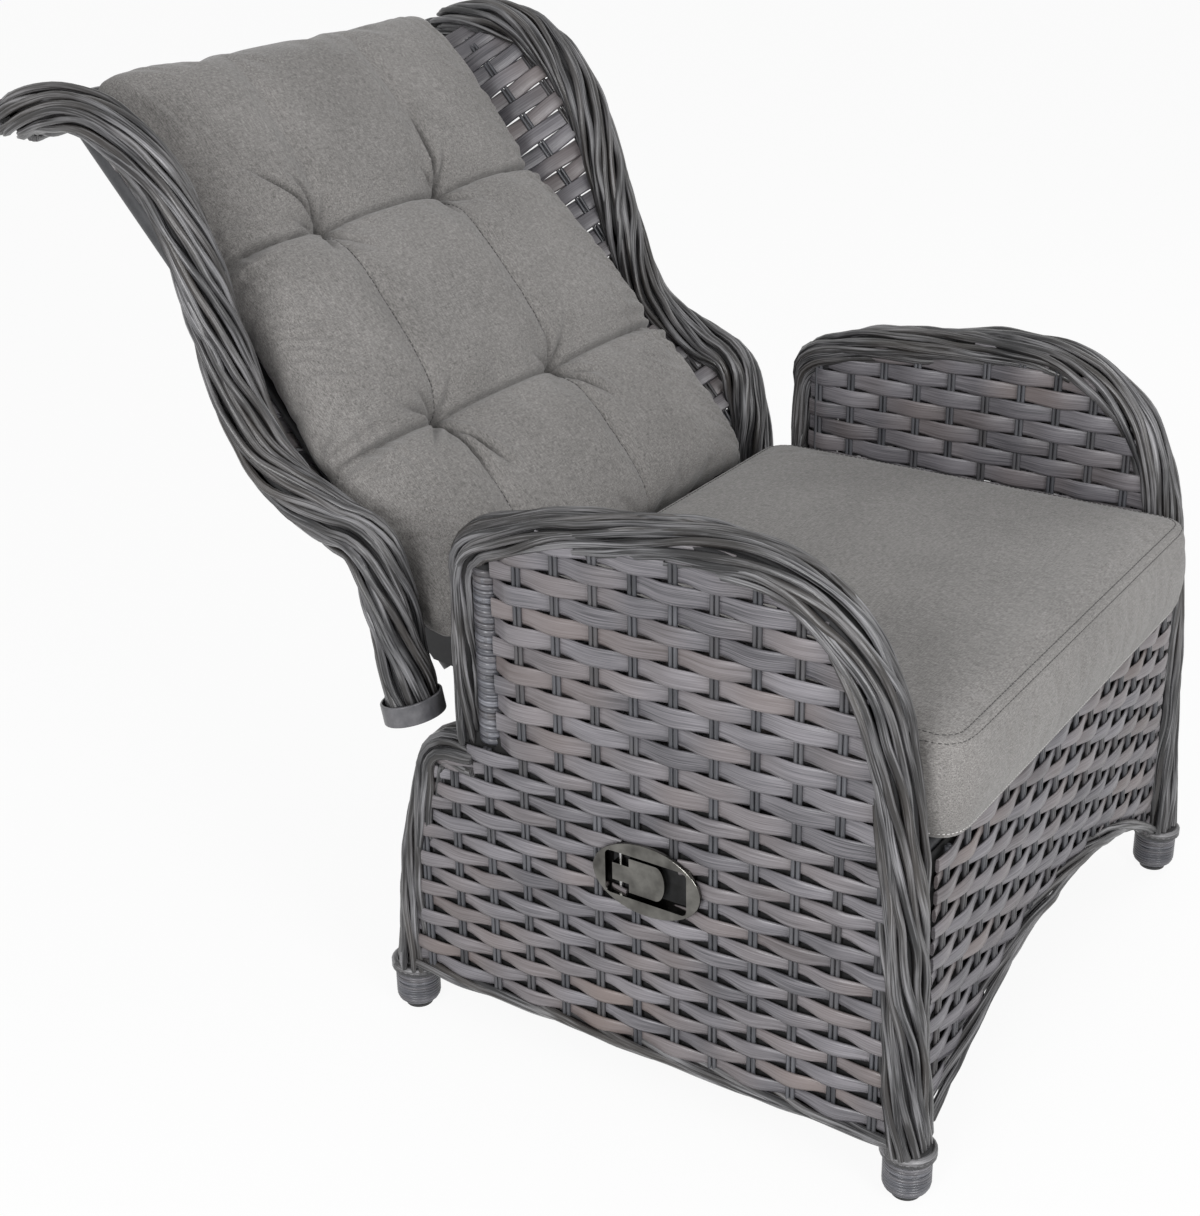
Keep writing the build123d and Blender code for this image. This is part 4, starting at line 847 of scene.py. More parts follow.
def weaveLines(outline, place, values, stakeStart, rowStart, rowEnd, seed, tuckAt=None,
               hole=None):
    # Strips along the outline's first axis and stakes along its second
    chance = random.Random(seed)
    rowStep, stakeStep = values["rowStep"], values["stakeStep"]
    rows, stakes = [], []
    level, number = rowStart, 0
    while level < rowEnd:
        for low, high in around(crossings(outline, level, 1), level, hole, 0):
            spots = evenly(low, high, max(2, round((high - low) / (stakeStep / 2))))
            phase = [(spot - stakeStart) / stakeStep + number for spot in spots]
            drift = [chance.uniform(-1, 1) * values["drift"] for _ in spots]
            points, normals = zip(*(place(spot, level + lift)
                                    for spot, lift in zip(spots, drift)))
            tuck = [0.0] * len(spots)
            if tuckAt is not None and abs(high - tuckAt) < shortest["tuckReach"]:
                tuck[-1] = values["tuck"]
            rows.append((list(points), normals, phase, tuck, chance.random()))
        level += rowStep
        number += 1
    left = min(point[0] for point in outline)
    right = max(point[0] for point in outline)
    spot = stakeStart + math.ceil((left - stakeStart) / stakeStep) * stakeStep
    while spot < right:
        for low, high in around(crossings(outline, spot, 0), spot, hole, 1):
            low, high = max(low, rowStart - rowStep * 0.6), min(high, rowEnd)
            if high - low > rowStep * 0.4:
                levels = evenly(low, high, max(1, round((high - low) / shortest["stakePiece"])))
                points, normals = zip(*(place(spot, level) for level in levels))
                blank = [0.0] * len(levels)
                stakes.append((list(points), normals, blank, blank, chance.random()))
        spot += stakeStep
    return rows, stakes


def makeWeave(name, lines, values, body, *stands):
    rows, stakes = lines
    asked = {label: values[label.lower()] for label in
             ("Amplitude", "Width", "Thickness", "Narrowing", "Step", "Sides", "Squareness")}
    strips = runOnce(linesObject(name + "Rows", rows), stripTree, {**asked, "Finish": stripFinish})
    pairs = runOnce(linesObject(name + "Stakes", stakes), stakeTree, {
        "Spread": values["stakeSpread"], "Radius": values["stakeRadius"], "Finish": stakeFinish})
    finishPiece(name, [strips, pairs], body, stands)


def sideSheet(x, turn):
    # Places on an upright sheet beside the seat, with the way it faces
    return lambda reach, level: (inSide(x, reach, level), (turn, 0, 0))


armWeave = {"rowStep": 0.0195, "amplitude": 0.0030, "width": 0.0199, "thickness": 0.0030,
            "narrowing": 0.10, "step": 0.0055, "sides": 10, "squareness": 0.62,
            "stakeSpread": 0.0024, "stakeRadius": 0.0022, "drift": 0.0005, "tuck": 0.0060,
            "stakeStep": 0.0411}
baseWeave = dict(armWeave, rowStep=0.0170, width=0.0166, thickness=0.0046, narrowing=0.30,
                 squareness=0.75, drift=0.0011)
fineWeave = dict(baseWeave, step=0.0070, sides=8, stakeStep=0.0430)
skin = {"outer": 0.3505, "lining": 0.3085, "stakeStart": 0.4035, "postFront": 0.4345,
        "liningEnd": 0.458, "liningLow": 0.300, "liningCut": 0.26, "liningRow": 0.312,
        "lowRow": 0.0780, "lowEnd": 0.342, "highCut": 0.328, "highRow": 0.352, "rowEnd": 0.60,
        "latchHole": ((0.264, 0.258), (0.0500, 0.0310))}
armOutline = roundedOutline(armPath, True)
sideOutline = armOutline + roundedOutline(rearPath)
highOutline = [(min(u, skin["postFront"]), v) for u, v in armOutline if v > skin["highCut"]]
liningOutline = [(min(u, skin["liningEnd"]), max(v, skin["liningLow"]))
                 for u, v in armOutline if v > skin["liningCut"]]
for side, name in sides:
    onSkin = sideSheet(side * skin["outer"], side)
    start, end = skin["stakeStart"], skin["rowEnd"]
    lowLines = weaveLines(sideOutline, onSkin, baseWeave, start, skin["lowRow"],
                          skin["lowEnd"], 11 + side,
                          hole=skin["latchHole"] if side < 0 else None)
    makeWeave(f"baseSkin_{name}", lowLines, baseWeave, "base", f"side_weave_{name}")
    highLines = weaveLines(highOutline, onSkin, armWeave, start, skin["highRow"], end,
                           17 + side, skin["postFront"])
    makeWeave(f"armSkin_{name}", highLines, armWeave, "base")
    liningLines = weaveLines(liningOutline, sideSheet(side * skin["lining"], -side), armWeave,
                             start, skin["liningRow"], end, 23 + side, skin["liningEnd"])
    makeWeave(f"armLining_{name}", liningLines, armWeave, "base", f"arm_lining_{name}")
print("side skins made")

# Front apron above its arch, and the rear panel
panel = {"stakeStart": 0.0215, "apronRow": 0.073, "apronTop": 0.337, "half": 0.2995,
         "low": 0.056, "high": 0.262, "rowStart": 0.066, "rowEnd": 0.259,
         "facing": (0, 0.986, 0.166)}
archOutline = [(x, arcHeight(archEdge, x)) for x in archPoints]
apronOutline = archOutline + [(turn * archEdge["half"], panel["apronTop"]) for turn in (1, -1)]
panelOutline = [(-panel["half"], panel["low"]), (panel["half"], panel["low"]),
                (panel["half"], panel["high"]), (-panel["half"], panel["high"])]


def onApron(x, level):
    return inSide(x, archEdge["reach"], level), (0, -1, 0)


def onRearPanel(x, level):
    # The panel leans between the last two places of the rear rim's path
    (topReach, top), (lowReach, low) = rearPath[2:]
    share = (top - level) / (top - low)
    return inSide(x, topReach + share * (lowReach - topReach), level), panel["facing"]


makeWeave("apronWeave", weaveLines(apronOutline, onApron, fineWeave, panel["stakeStart"],
                                   panel["apronRow"], panel["apronTop"], 31),
          fineWeave, "base", "apron_weave")
makeWeave("rearWeave", weaveLines(panelOutline, onRearPanel, fineWeave, panel["stakeStart"],
                                  panel["rowStart"], panel["rowEnd"], 37),
          fineWeave, "base", "rear_weave")
print("front and rear panels made")


# A near-black sheet behind the weave of the base: painted shade that stands for its shadowed
# inside and darkens the gaps
shadeSheet = {"inset": 0.0062, "thickness": 0.0008, "top": 0.352, "below": 0.36, "behind": 0.459,
       "shortest": 0.0005}


def makeShadeSheet(name, outline, place):
    form = bmesh.new()
    faces = []
    for depthIn in (shadeSheet["inset"], shadeSheet["inset"] + shadeSheet["thickness"]):
        spots = [place(u, v) for u, v in outline]
        faces.append([form.verts.new(spot - Vector(normal) * depthIn) for spot, normal in spots])
    form.faces.new(faces[0])
    form.faces.new(list(reversed(faces[1])))
    for step in range(len(outline)):
        after = (step + 1) % len(outline)
        form.faces.new((faces[0][step], faces[1][step], faces[1][after], faces[0][after]))
    bmesh.ops.recalc_face_normals(form, faces=form.faces)
    piece = linkObject(name, meshOf(name, form, shadeSheetFinish))
    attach(piece, "base")


shadeSheetOutline = [(u, min(v, shadeSheet["top"])) for u, v in sideOutline
              if v < shadeSheet["below"] or u > shadeSheet["behind"]]
shadeSheetOutline = [spot for number, spot in enumerate(shadeSheetOutline)
              if (Vector(spot) - Vector(shadeSheetOutline[number - 1])).length > shadeSheet["shortest"]]
for side, name in sides:
    makeShadeSheet(f"innerShadeSheet_{name}", shadeSheetOutline, sideSheet(side * skin["outer"], side))
makeShadeSheet("apronShadeSheet", apronOutline, onApron)
makeShadeSheet("rearShadeSheet", panelOutline, onRearPanel)

# The back: its sheet and the two wings, which open from the corner tubes out to the rims
back = {"cornerHalf": 0.2555, "tubeBehind": 0.036, "sheetBehind": 0.0214, "sheetLow": 0.010,
        "sheetHigh": 0.646, "stakeStart": 0.0215, "rowStart": 0.020, "rowEnd": 0.645,
        "wingLow": 0.052, "wingHigh": 0.648, "wingRow": 0.060, "wingStakeStart": 0.034,
        "wingSteps": 40}
backWeave = dict(armWeave, step=0.0065, sides=8, width=0.0204, narrowing=0.06, drift=0.0007,
                 stakeStep=0.0430)


def onSheet(x, along):
    return inBack(x, back["sheetBehind"], along), behindWay


def rimBehind(along):
    length = chair["backLength"]
    for (u0, v0), (u1, v1) in zip(backRimPath, backRimPath[1:]):
        if v0 * length <= along <= v1 * length:
            return length * (u0 + (u1 - u0) * (along / length - v0) / (v1 - v0))
    return 0.0


def wingSpan(along):
    return Vector((chair["wingHalf"] - back["cornerHalf"], rimBehind(along) - back["tubeBehind"]))


sheetOutline = [(-back["cornerHalf"], back["sheetLow"]), (back["cornerHalf"], back["sheetLow"]),
                (back["cornerHalf"], back["sheetHigh"]), (-back["cornerHalf"], back["sheetHigh"])]
makeWeave("backWeave", weaveLines(sheetOutline, onSheet, backWeave, back["stakeStart"],
                                  back["rowStart"], back["rowEnd"], 41),
          backWeave, "backrest", "back_weave")
wingLevels = evenly(back["wingLow"], back["wingHigh"], back["wingSteps"])
wingOutline = [(0.0, level) for level in reversed(wingLevels)]
wingOutline += [(wingSpan(level).length, level) for level in wingLevels]
for side, name in sides:
    def onWing(out, along, side=side):
        way = wingSpan(along).normalized()
        place = inBack(side * (back["cornerHalf"] + way.x * out),
                       back["tubeBehind"] + way.y * out, along)
        return place, inBack(side * -way.y, way.x, 0) - inBack(0, 0, 0)

    lines = weaveLines(wingOutline, onWing, backWeave, back["wingStakeStart"],
                       back["wingRow"], back["wingHigh"], 43 + side)
    makeWeave(f"wingWeave_{name}", lines, backWeave, "backrest", f"wing_weave_{name}")
print("back woven")


# Wound posts and feet
post = {"x": 0.336, "reach": 0.447, "low": 0.3415, "high": 0.527, "radius": 0.0118,
        "pitch": 0.0066, "depth": 0.0034, "inset": 0.003, "widening": 1.12}
foot = {"reaches": (0.006, 0.565), "low": 0.0055, "high": 0.0440, "radius": 0.0215,
        "pitch": 0.0030, "depth": 0.0030, "widening": 1.12, "round": 0.010,
        "core": ((0.0105, 0.0031), (0.0145, 0.0045), (0.0190, 0.0095), (0.0215, 0.0165),
                 (0.0215, 0.0540))}
collar = {"low": 0.0465, "high": 0.0525, "radius": 0.0228, "strand": 0.0082, "turns": 2.0,
          "tilt": 0.03}


def lathe(name, profile, centre, finish, steps=32):
    # A closed turned shape about an upright axis
    form = bmesh.new()
    rings = []
    for radius, level in profile:
        rings.append([form.verts.new((centre[0] + radius * math.cos(turn),
                                      centre[1] + radius * math.sin(turn), level))
                      for turn in (2 * math.pi * step / steps for step in range(steps))])
    for low, high in zip(rings, rings[1:]):
        for step in range(steps):
            form.faces.new((low[step], low[(step + 1) % steps], high[(step + 1) % steps],
                            high[step]))
    form.faces.new(list(reversed(rings[0])))
    form.faces.new(rings[-1])
    return meshOf(name, form, finish)


def windingMesh(centre, radius, low, high, turns, width, depth, curve=0.0, tilt=0.0,
                finish=wrapFinish):
    seed = bpy.data.meshes.new("windingSeed")
    seed.from_pydata([(0, 0, 0)], [], [])
    return runOnce(linkObject("windingSource", seed), windingTree, {
        "Radius": radius, "Turns": turns, "Height": high - low, "Round": curve,
        "Strip Width": width, "Strip Depth": depth, "Steps": 26,
        "Place": (centre[0], centre[1], low), "Tilt": tilt, "Finish": finish})


def closeTurns(values, centre, low, high, curve=0.0):
    # Turns that lie side by side, each a little wider than their pitch
    pitch = values["pitch"]
    return windingMesh(centre, values["radius"], low, high, (high - low) / pitch,
                       pitch * values["widening"], values["depth"], curve)


for side, name in sides:
    centre = inSide(side * post["x"], post["reach"], 0)
    wound = closeTurns(post, centre, post["low"] + post["inset"], post["high"] - post["inset"])
    # The post's core is painted shade, near-black between the turns
    inside = lathe("postCore", [(post["radius"], post[end]) for end in ("low", "high")],
                   centre, gapShadeFinish)
    finishPiece(f"armPost_{name}", [wound, inside], "base", [f"arm_post_{name}"])
    for reach, end in zip(foot["reaches"], ("front", "rear")):
        centre = inSide(side * chair["sideHalf"], reach, 0)
        wound = closeTurns(foot, centre, foot["low"], foot["high"], foot["round"])
        # The foot's core is painted shade, near-black between the turns
        inside = lathe("footCore", foot["core"], centre, gapShadeFinish)
        ringMesh = windingMesh(centre, collar["radius"], collar["low"], collar["high"],
                               collar["turns"], collar["strand"], collar["strand"],
                               tilt=collar["tilt"], finish=strandFinish)
        finishPiece(f"foot_{end}_{name}", [wound, inside, ringMesh], "base",
                    [f"foot_{end}_{name}"])
print("posts and feet wound")

# Cushions: filled covers, blown up as cloth and then drawn in along their seams
clothBlow = {"voxel": 0.0060, "pressure": 4.0, "frames": 20, "stiffness": 12.0,
             "bending": 0.6, "mass": 0.25}
seatPad = {"half": 0.2955, "front": -0.006, "rear": 0.494, "low": 0.3450, "high": 0.4455,
           "edge": 0.013, "corner": 0.030, "sharpness": 3.6, "crown": 0.004, "crownReach": 0.03,
           "bulge": 0.005, "borderReach": 0.004, "fill": 0.8, "grow": 0.01, "cap": 0.005,
           "heldLow": 0.004, "seam": 0.0085, "seamDepth": 0.0009, "seamReach": 0.0022,
           "piping": 0.0065, "hem": 0.0075, "hemDepth": 0.0016, "hemReach": 0.0020,
           "turns": 240}
backPad = {"half": 0.262, "lowHalf": 0.291, "widenFrom": 0.62, "widenSpan": 0.35,
           "shift": -0.009, "border": -0.012, "rear": 0.0160, "front": -0.048, "bulge": 0.010,
           "start": 0.024, "end": 0.677, "columns": 120, "rows": 150, "sideSharpness": 7,
           "endSharpness": 11, "roundness": 0.42, "rearRoundness": 0.6, "waist": 0.007,
           "waistReach": 0.010, "endDraw": 0.012, "endFrom": 0.93, "endSpan": 0.07,
           "tuftX": (-0.124, 0.070), "tuftLean": (0.081, 0.034), "tuftRows": (0.220, 0.452),
           "tuftDepth": 0.030, "tuftReach": 0.019, "rowDepth": 0.009, "rowReach": 0.007,
           "columnDepth": 0.0012, "columnReach": 0.006, "gather": 0.012, "fill": 0.65,
           "grow": 0.015, "cap": 0.0045, "pillowX": (-0.30, 0.28), "pillowAlong": (-0.06, 0.78),
           "pillowDips": (0.25, 0.85), "pillowSharpness": 3, "heldRear": 0.006, "heldTuft": 0.009,
           "heldRow": 0.005, "rowHold": 0.8, "heldColumn": 0.004, "columnHold": 0.4}
# Finer shapes drawn in after the filling, and the painted shade laid in the cover's folds
creases = {"skip": 0.004, "groove": 0.0060, "grooveReach": 0.0028, "grooveSharpness": 1.4,
           "seam": 0.0018, "seamReach": 0.0024, "seamFade": 0.04, "puckerFrom": 0.19,
           "puckerSpan": 0.07, "pucker": 0.0045, "puckerReach": 0.030, "puckerWaves": 330,
           "rowShade": 0.55, "rowShadeReach": 0.0026, "tuftShade": 0.9,
           "tuftShadeReach": 0.009, "wrinkleShadeFrom": 0.0016, "wrinkleShadeSpan": 0.0070,
           "puckerTurn": 2.0, "slackFrom": 0.17, "slackSpan": 0.08, "slack": 0.0016,
           "slackWaves": 190, "slackBend": 9, "bendWaves": (31, 40),
           "widest": (-0.303, 0.286), "deepest": -0.0690}
stitch = {"pitch": 0.0056, "long": 0.0034, "radius": 0.00050, "finePitch": 0.0042,
          "fineLong": 0.0022, "lift": 0.0002}
wrinkleForm = {"bend": 0.10, "wide": 0.0036, "widening": 0.013, "depth": 2.5, "ridge": 0.5}
# Wrinkles that run out from the tufts: column, row, direction in degrees, length, depth
wrinkles = [(0, 1, 128, 0.120, 0.0042), (0, 1, 104, 0.075, 0.0030), (0, 1, 160, 0.060, 0.0026),
            (0, 1, 232, 0.050, 0.0018), (0, 1, 62, 0.045, 0.0018), (0, 1, 300, 0.055, 0.0018),
            (1, 1, 78, 0.110, 0.0038), (1, 1, 52, 0.060, 0.0024), (1, 1, 118, 0.050, 0.0020),
            (1, 1, 318, 0.050, 0.0020), (1, 1, 250, 0.050, 0.0016),
            (0, 0, 262, 0.090, 0.0038), (0, 0, 283, 0.100, 0.0040), (0, 0, 152, 0.070, 0.0030),
            (0, 0, 205, 0.075, 0.0026), (0, 0, 120, 0.050, 0.0018), (0, 0, 40, 0.050, 0.0018),
            (1, 0, 292, 0.090, 0.0030), (1, 0, 318, 0.060, 0.0024), (1, 0, 145, 0.055, 0.0020),
            (1, 0, 40, 0.060, 0.0022), (1, 0, 75, 0.045, 0.0018)]


def hill(away, reach, power=2):
    # 1 at no distance, and fading out with it
    return math.exp(-(abs(away) / reach) ** power)


def clamp(value, low=0.0, high=1.0):
    return min(max(value, low), high)


def blowUp(name, mesh, pinned, values):
    # A cover filled from inside; pinned tells how firmly a point is held, from 0 to 1
    piece = linkObject(name, mesh)
    voxels = piece.modifiers.new("voxels", "REMESH")
    voxels.mode = "VOXEL"
    voxels.voxel_size = clothBlow["voxel"]
    even = finalMesh(piece)
    piece.modifiers.clear()
    piece.data = even
    start = [vert.co.copy() for vert in even.vertices]
    held = piece.vertex_groups.new(name="held")
    for vert in even.vertices:
        weight = pinned(vert.co)
        if weight > 0:
            held.add([vert.index], weight, "REPLACE")
    cloth = piece.modifiers.new("cloth", "CLOTH")
    for label, value in (("quality", 6), ("mass", clothBlow["mass"]),
                         ("tension_stiffness", clothBlow["stiffness"]),
                         ("compression_stiffness", clothBlow["stiffness"]),
                         ("shear_stiffness", clothBlow["stiffness"] / 2),
                         ("bending_stiffness", clothBlow["bending"]), ("use_pressure", True),
                         ("uniform_pressure_force", clothBlow["pressure"]),
                         ("shrink_min", -values["grow"]), ("vertex_group_mass", "held"),
                         ("pin_stiffness", 1.0)):
        setattr(cloth.settings, label, value)
    cloth.settings.effector_weights.gravity = 0
    cloth.point_cache.frame_start = 1
    cloth.point_cache.frame_end = clothBlow["frames"]
    for step in range(1, clothBlow["frames"] + 1):
        bpy.context.scene.frame_set(step)
    blown = finalMesh(piece)
    piece.modifiers.clear()
    piece.vertex_groups.clear()
    for vert, before in zip(blown.vertices, start):
        shift = vert.co - before
        if shift.length > values["cap"]:
            vert.co = before + shift * (values["cap"] / shift.length)
    piece.data = blown
    bpy.context.scene.frame_set(1)
    print(name, "blown up,", len(blown.vertices), "points")
    return piece


def refine(piece):
    # One round of subdivision, kept in the mesh
    smooth = piece.modifiers.new("smooth", "SUBSURF")
    smooth.levels = smooth.render_levels = 1
    piece.data = finalMesh(piece)
    piece.modifiers.clear()


def closedForm(name, point, columns, rows):
    # A closed shape from a front sheet and a back sheet that meet along their border
    form = bmesh.new()
    sheets = [[[None] * (columns + 1) for _ in range(rows + 1)] for _ in range(2)]
    for row in range(rows + 1):
        for column in range(columns + 1):
            border = row in (0, rows) or column in (0, columns)
            u, v = 2 * column / columns - 1, row / rows
            sheets[0][row][column] = form.verts.new(point(u, v, 0))
            sheets[1][row][column] = (sheets[0][row][column] if border
                                      else form.verts.new(point(u, v, 1)))
    for face, sheet in enumerate(sheets):
        for row in range(rows):
            for column in range(columns):
                corners = [sheet[row][column], sheet[row][column + 1],
                           sheet[row + 1][column + 1], sheet[row + 1][column]]
                form.faces.new(corners if face == 0 else list(reversed(corners)))
    bmesh.ops.recalc_face_normals(form, faces=form.faces)
    return meshOf(name, form)


def roundedBox(name, low, high, edge, corner, cells=44):
    # A box with rounded edges and, seen from above, wider rounded corners
    form = bmesh.new()
    bmesh.ops.create_cube(form, size=2.0)
    bmesh.ops.subdivide_edges(form, edges=form.edges, cuts=cells, use_grid_fill=True)
    centre, half = (low + high) / 2, (high - low) / 2
    for vert in form.verts:
        place = Vector([side * share for side, share in zip(vert.co, half)])
        inner = Vector([max(-(size - corner), min(size - corner, value))
                        for value, size in zip(place.xy, half.xy)])
        away = place.xy - inner
        reach = max(abs(away.x), abs(away.y))
        if away.length > 1e-9:
            place.xy = inner + away.normalized() * reach
        rim = max(0.0, abs(place.z) - (half.z - edge)) / edge
        pull = edge * (1 - math.sqrt(max(0.0, 1 - rim * rim)))
        inset = max(away.length, 1e-9)
        if reach > corner - edge:
            place.xy -= away / inset * pull
        vert.co = centre + place
    bmesh.ops.recalc_face_normals(form, faces=form.faces)
    return meshOf(name, form)


def blockOf(values):
    return (inSide(-values["half"], values["front"], values["low"]),
            inSide(values["half"], values["rear"], values["high"]))


def sidesOf(values, place):
    # How far outside the seat pad's inner block a place is, seen from above, and its way out
    (low, high), corner = blockOf(values), values["corner"]
    inner = Vector((clamp(place.x, low.x + corner, high.x - corner),
                    clamp(place.y, low.y + corner, high.y - corner)))
    away = place.xy - inner
    return away.length - corner, away.normalized() if away.length > 1e-6 else Vector((0, 0))


def makeSeatPad(values):
    low, high = blockOf(values)
    edge, sharp, corner = values["edge"], values["sharpness"], values["corner"]
    mesh = roundedBox("seatPad", low, high, edge, corner)

    def pinned(place):
        out, _ = sidesOf(values, place)
        nearTop, nearLow = values["high"] - place.z, place.z - values["low"]
        if nearLow < values["heldLow"] or (out > -edge and min(nearTop, nearLow) < edge):
            return 1.0
        return 0.0

    piece = blowUp("seatPad", mesh, pinned, values)
    refine(piece)
    middle, size = (low + high) / 2, (high - low) / 2
    seamLevels = (values["high"] - values["piping"], values["low"] + values["hem"])
    reachUp = values["crownReach"]
    for vert in piece.data.vertices:
        place = vert.co
        out, way = sidesOf(values, place)
        # The rounded border is squared off into a sewn edge
        for level, turn in ((values["high"] - edge, 1), (values["low"] + edge, -1)):
            across, above = out + edge, (place.z - level) * turn
            reach = math.hypot(across, above)
            if across > 0 and above > 0 and reach > 1e-6:
                c, s = across / reach, above / reach
                grow = 1.0 / (c ** sharp + s ** sharp) ** (1 / sharp)
                place.x += way.x * across * (grow - 1)
                place.y += way.y * across * (grow - 1)
                place.z += turn * above * (grow - 1)
        shareX, shareY = (place.x - middle.x) / size.x, (place.y - middle.y) / size.y
        if place.z > values["high"] - reachUp:
            crown = max(0.0, 1 - shareX ** 4) * max(0.0, 1 - shareY ** 4)
            lifted = min(1.0, (place.z - values["high"] + reachUp) / reachUp)
            place.z += values["crown"] * crown * lifted
        # Seams go round it, under the upper edge, beside it on top, and over the lower edge
        rise = (place.z - middle.z) / size.z
        if out > -values["borderReach"]:
            full = values["bulge"] * max(0.0, 1 - rise * rise)
            for level in seamLevels:
                full -= values["hemDepth"] * hill(place.z - level, values["hemReach"])
            place.x += way.x * full
            place.y += way.y * full
        elif place.z > middle.z:
            place.z -= values["seamDepth"] * hill(out + values["seam"], values["seamReach"])
    finishPad(piece, "base", "seat_cushion",
              [vert.co.copy() for vert in piece.data.vertices],
              [0.0] * len(piece.data.vertices))
    # Stitches along the three seams
    cover = coverOf(piece)
    loops = []
    for across, level in ((0.0, seamLevels[0]), (0.0, seamLevels[1]), (-values["seam"], None)):
        line = []
        for turn in range(values["turns"]):
            angle = 2 * math.pi * turn / values["turns"]
            way = Vector((math.cos(angle), math.sin(angle)))
            spot = way * (1 / max(abs(way.x) / size.x, abs(way.y) / size.y))
            inner = Vector([clamp(value, corner - half, half - corner)
                            for value, half in zip(spot, size.xy)])
            out = (spot - inner).normalized() if (spot - inner).length > 1e-6 else way
            flat = middle.xy + inner + out * (corner + across)
            if level is None:
                line.append(onCover(cover, flat.to_3d() + Vector((0, 0, 0.6)), (0, 0, -1)))
            else:
                start = flat + out * 0.05
                line.append(onCover(cover, Vector((*start, level)), (-out.x, -out.y, 0)))
        line = [spot for spot in line if spot is not None]
        loops.append(line + line[:1])
    makeStitches("seatSeams", [loops[0], loops[2]], "base", False)
    makeStitches("seatHem", [loops[1]], "base", True)


def columnsAt(values, along):
    # Where the two upright seams run; they spread a little towards the lower end
    return [x + lean * (along - values["tuftRows"][1])
            for x, lean in zip(values["tuftX"], values["tuftLean"])]


def coverOf(piece):
    data = piece.data
    return BVHTree.FromPolygons([vert.co for vert in data.vertices],
                                [list(face.vertices) for face in data.polygons])


def onCover(cover, start, way):
    # Where a needle that comes from start meets the cover
    place, normal, _, _ = cover.ray_cast(start, Vector(way))
    return place + normal * stitch["lift"] if place is not None else None


def creaseAt(values, x, along):
    # How far the cover is drawn in towards the rear at a place on the back pad
    pull = 0.0
    for row in values["tuftRows"]:
        pull += values["rowDepth"] * hill(along - row, values["rowReach"], 1)
        for tuft in columnsAt(values, row):
            far = math.hypot(x - tuft, (along - row) * 1.1)
            pull += values["tuftDepth"] * hill(far, values["tuftReach"], 1)
    for line in columnsAt(values, along):
        pull += values["columnDepth"] * hill(x - line, values["columnReach"], 1)
    return pull


def pillowAt(values, x, along):
    # How full the filling stands between the seams, from 0 to 1
    full = 1.0
    for place, (low, high), seams, dip in zip(
            (x, along), (values["pillowX"], values["pillowAlong"]),
            (columnsAt(values, along), values["tuftRows"]), values["pillowDips"]):
        lines = [low, *seams, high]
        for a, b in zip(lines, lines[1:]):
            if a <= place <= b:
                share = 2 * (place - a) / (b - a) - 1
                full *= 1 - dip * abs(share) ** values["pillowSharpness"]
    return full


def wrinkleAt(values, x, along):
    # Each wrinkle is a groove that bends a little, widens, and has a low ridge beside it
    depth = 0.0
    for column, row, angle, length, foldAndShade in wrinkles:
        turn = math.radians(angle)
        level = values["tuftRows"][row]
        dx, dy = x - columnsAt(values, level)[column], along - level
        way = dx * math.cos(turn) + dy * math.sin(turn)
        if 0 < way < length:
            bend = wrinkleForm["bend"] * way * way / length
            aside = -dx * math.sin(turn) + dy * math.cos(turn) - bend
            fade = math.sin(math.pi * min(1.0, way / length) ** 0.5)
            wide = wrinkleForm["wide"] + wrinkleForm["widening"] * way
            ridge = wrinkleForm["ridge"] * hill(aside - 2 * wide, wide)
            depth += wrinkleForm["depth"] * foldAndShade * fade * (hill(aside, wide) - ridge)
    return depth


def backPoint(values, u, v, face):
    # A place on the back pad before it is filled: evenly spaced inside, closer near the border
    share = 0.5 - 0.5 * math.cos(v * math.pi)
    along = values["start"] + (values["end"] - values["start"]) * share
    widen = clamp((values["widenFrom"] - share) / values["widenSpan"])
    half = values["half"] + (values["lowHalf"] - values["half"]) * widen
    for row in values["tuftRows"]:
        half -= values["waist"] * hill(along - row, values["waistReach"])
    half -= (values["endDraw"] * max(0.0, abs(2 * share - 1) - values["endFrom"])
             / values["endSpan"])
    across = math.sin(u * math.pi / 2)
    x = values["shift"] + half * across
    side = max(0.0, 1 - abs(across) ** values["sideSharpness"]) ** values["roundness"]
    end = max(0.0, 1 - abs(2 * share - 1) ** values["endSharpness"]) ** values["roundness"]
    inner = (side * end) ** values["rearRoundness"]
    if face == 1:
        return Vector((x, values["border"] + (values["rear"] - values["border"]) * inner, along))
    top = values["front"] - values["bulge"] * pillowAt(values, x, along)
    full = (values["border"] - top) * side * end
    return Vector((x, values["border"] - full + creaseAt(values, x, along) * inner, along))


def backHold(values, place):
    # How firmly a point of the back pad is held while it is filled
    if place.y > values["rear"] - values["heldRear"]:
        return 1.0
    for row in values["tuftRows"]:
        for tuft in columnsAt(values, row):
            if math.hypot(place.x - tuft, place.z - row) < values["heldTuft"]:
                return 1.0
    if min(abs(place.z - row) for row in values["tuftRows"]) < values["heldRow"]:
        return values["rowHold"]
    if min(abs(place.x - line) for line in columnsAt(values, place.z)) < values["heldColumn"]:
        return values["columnHold"]
    return 0.0


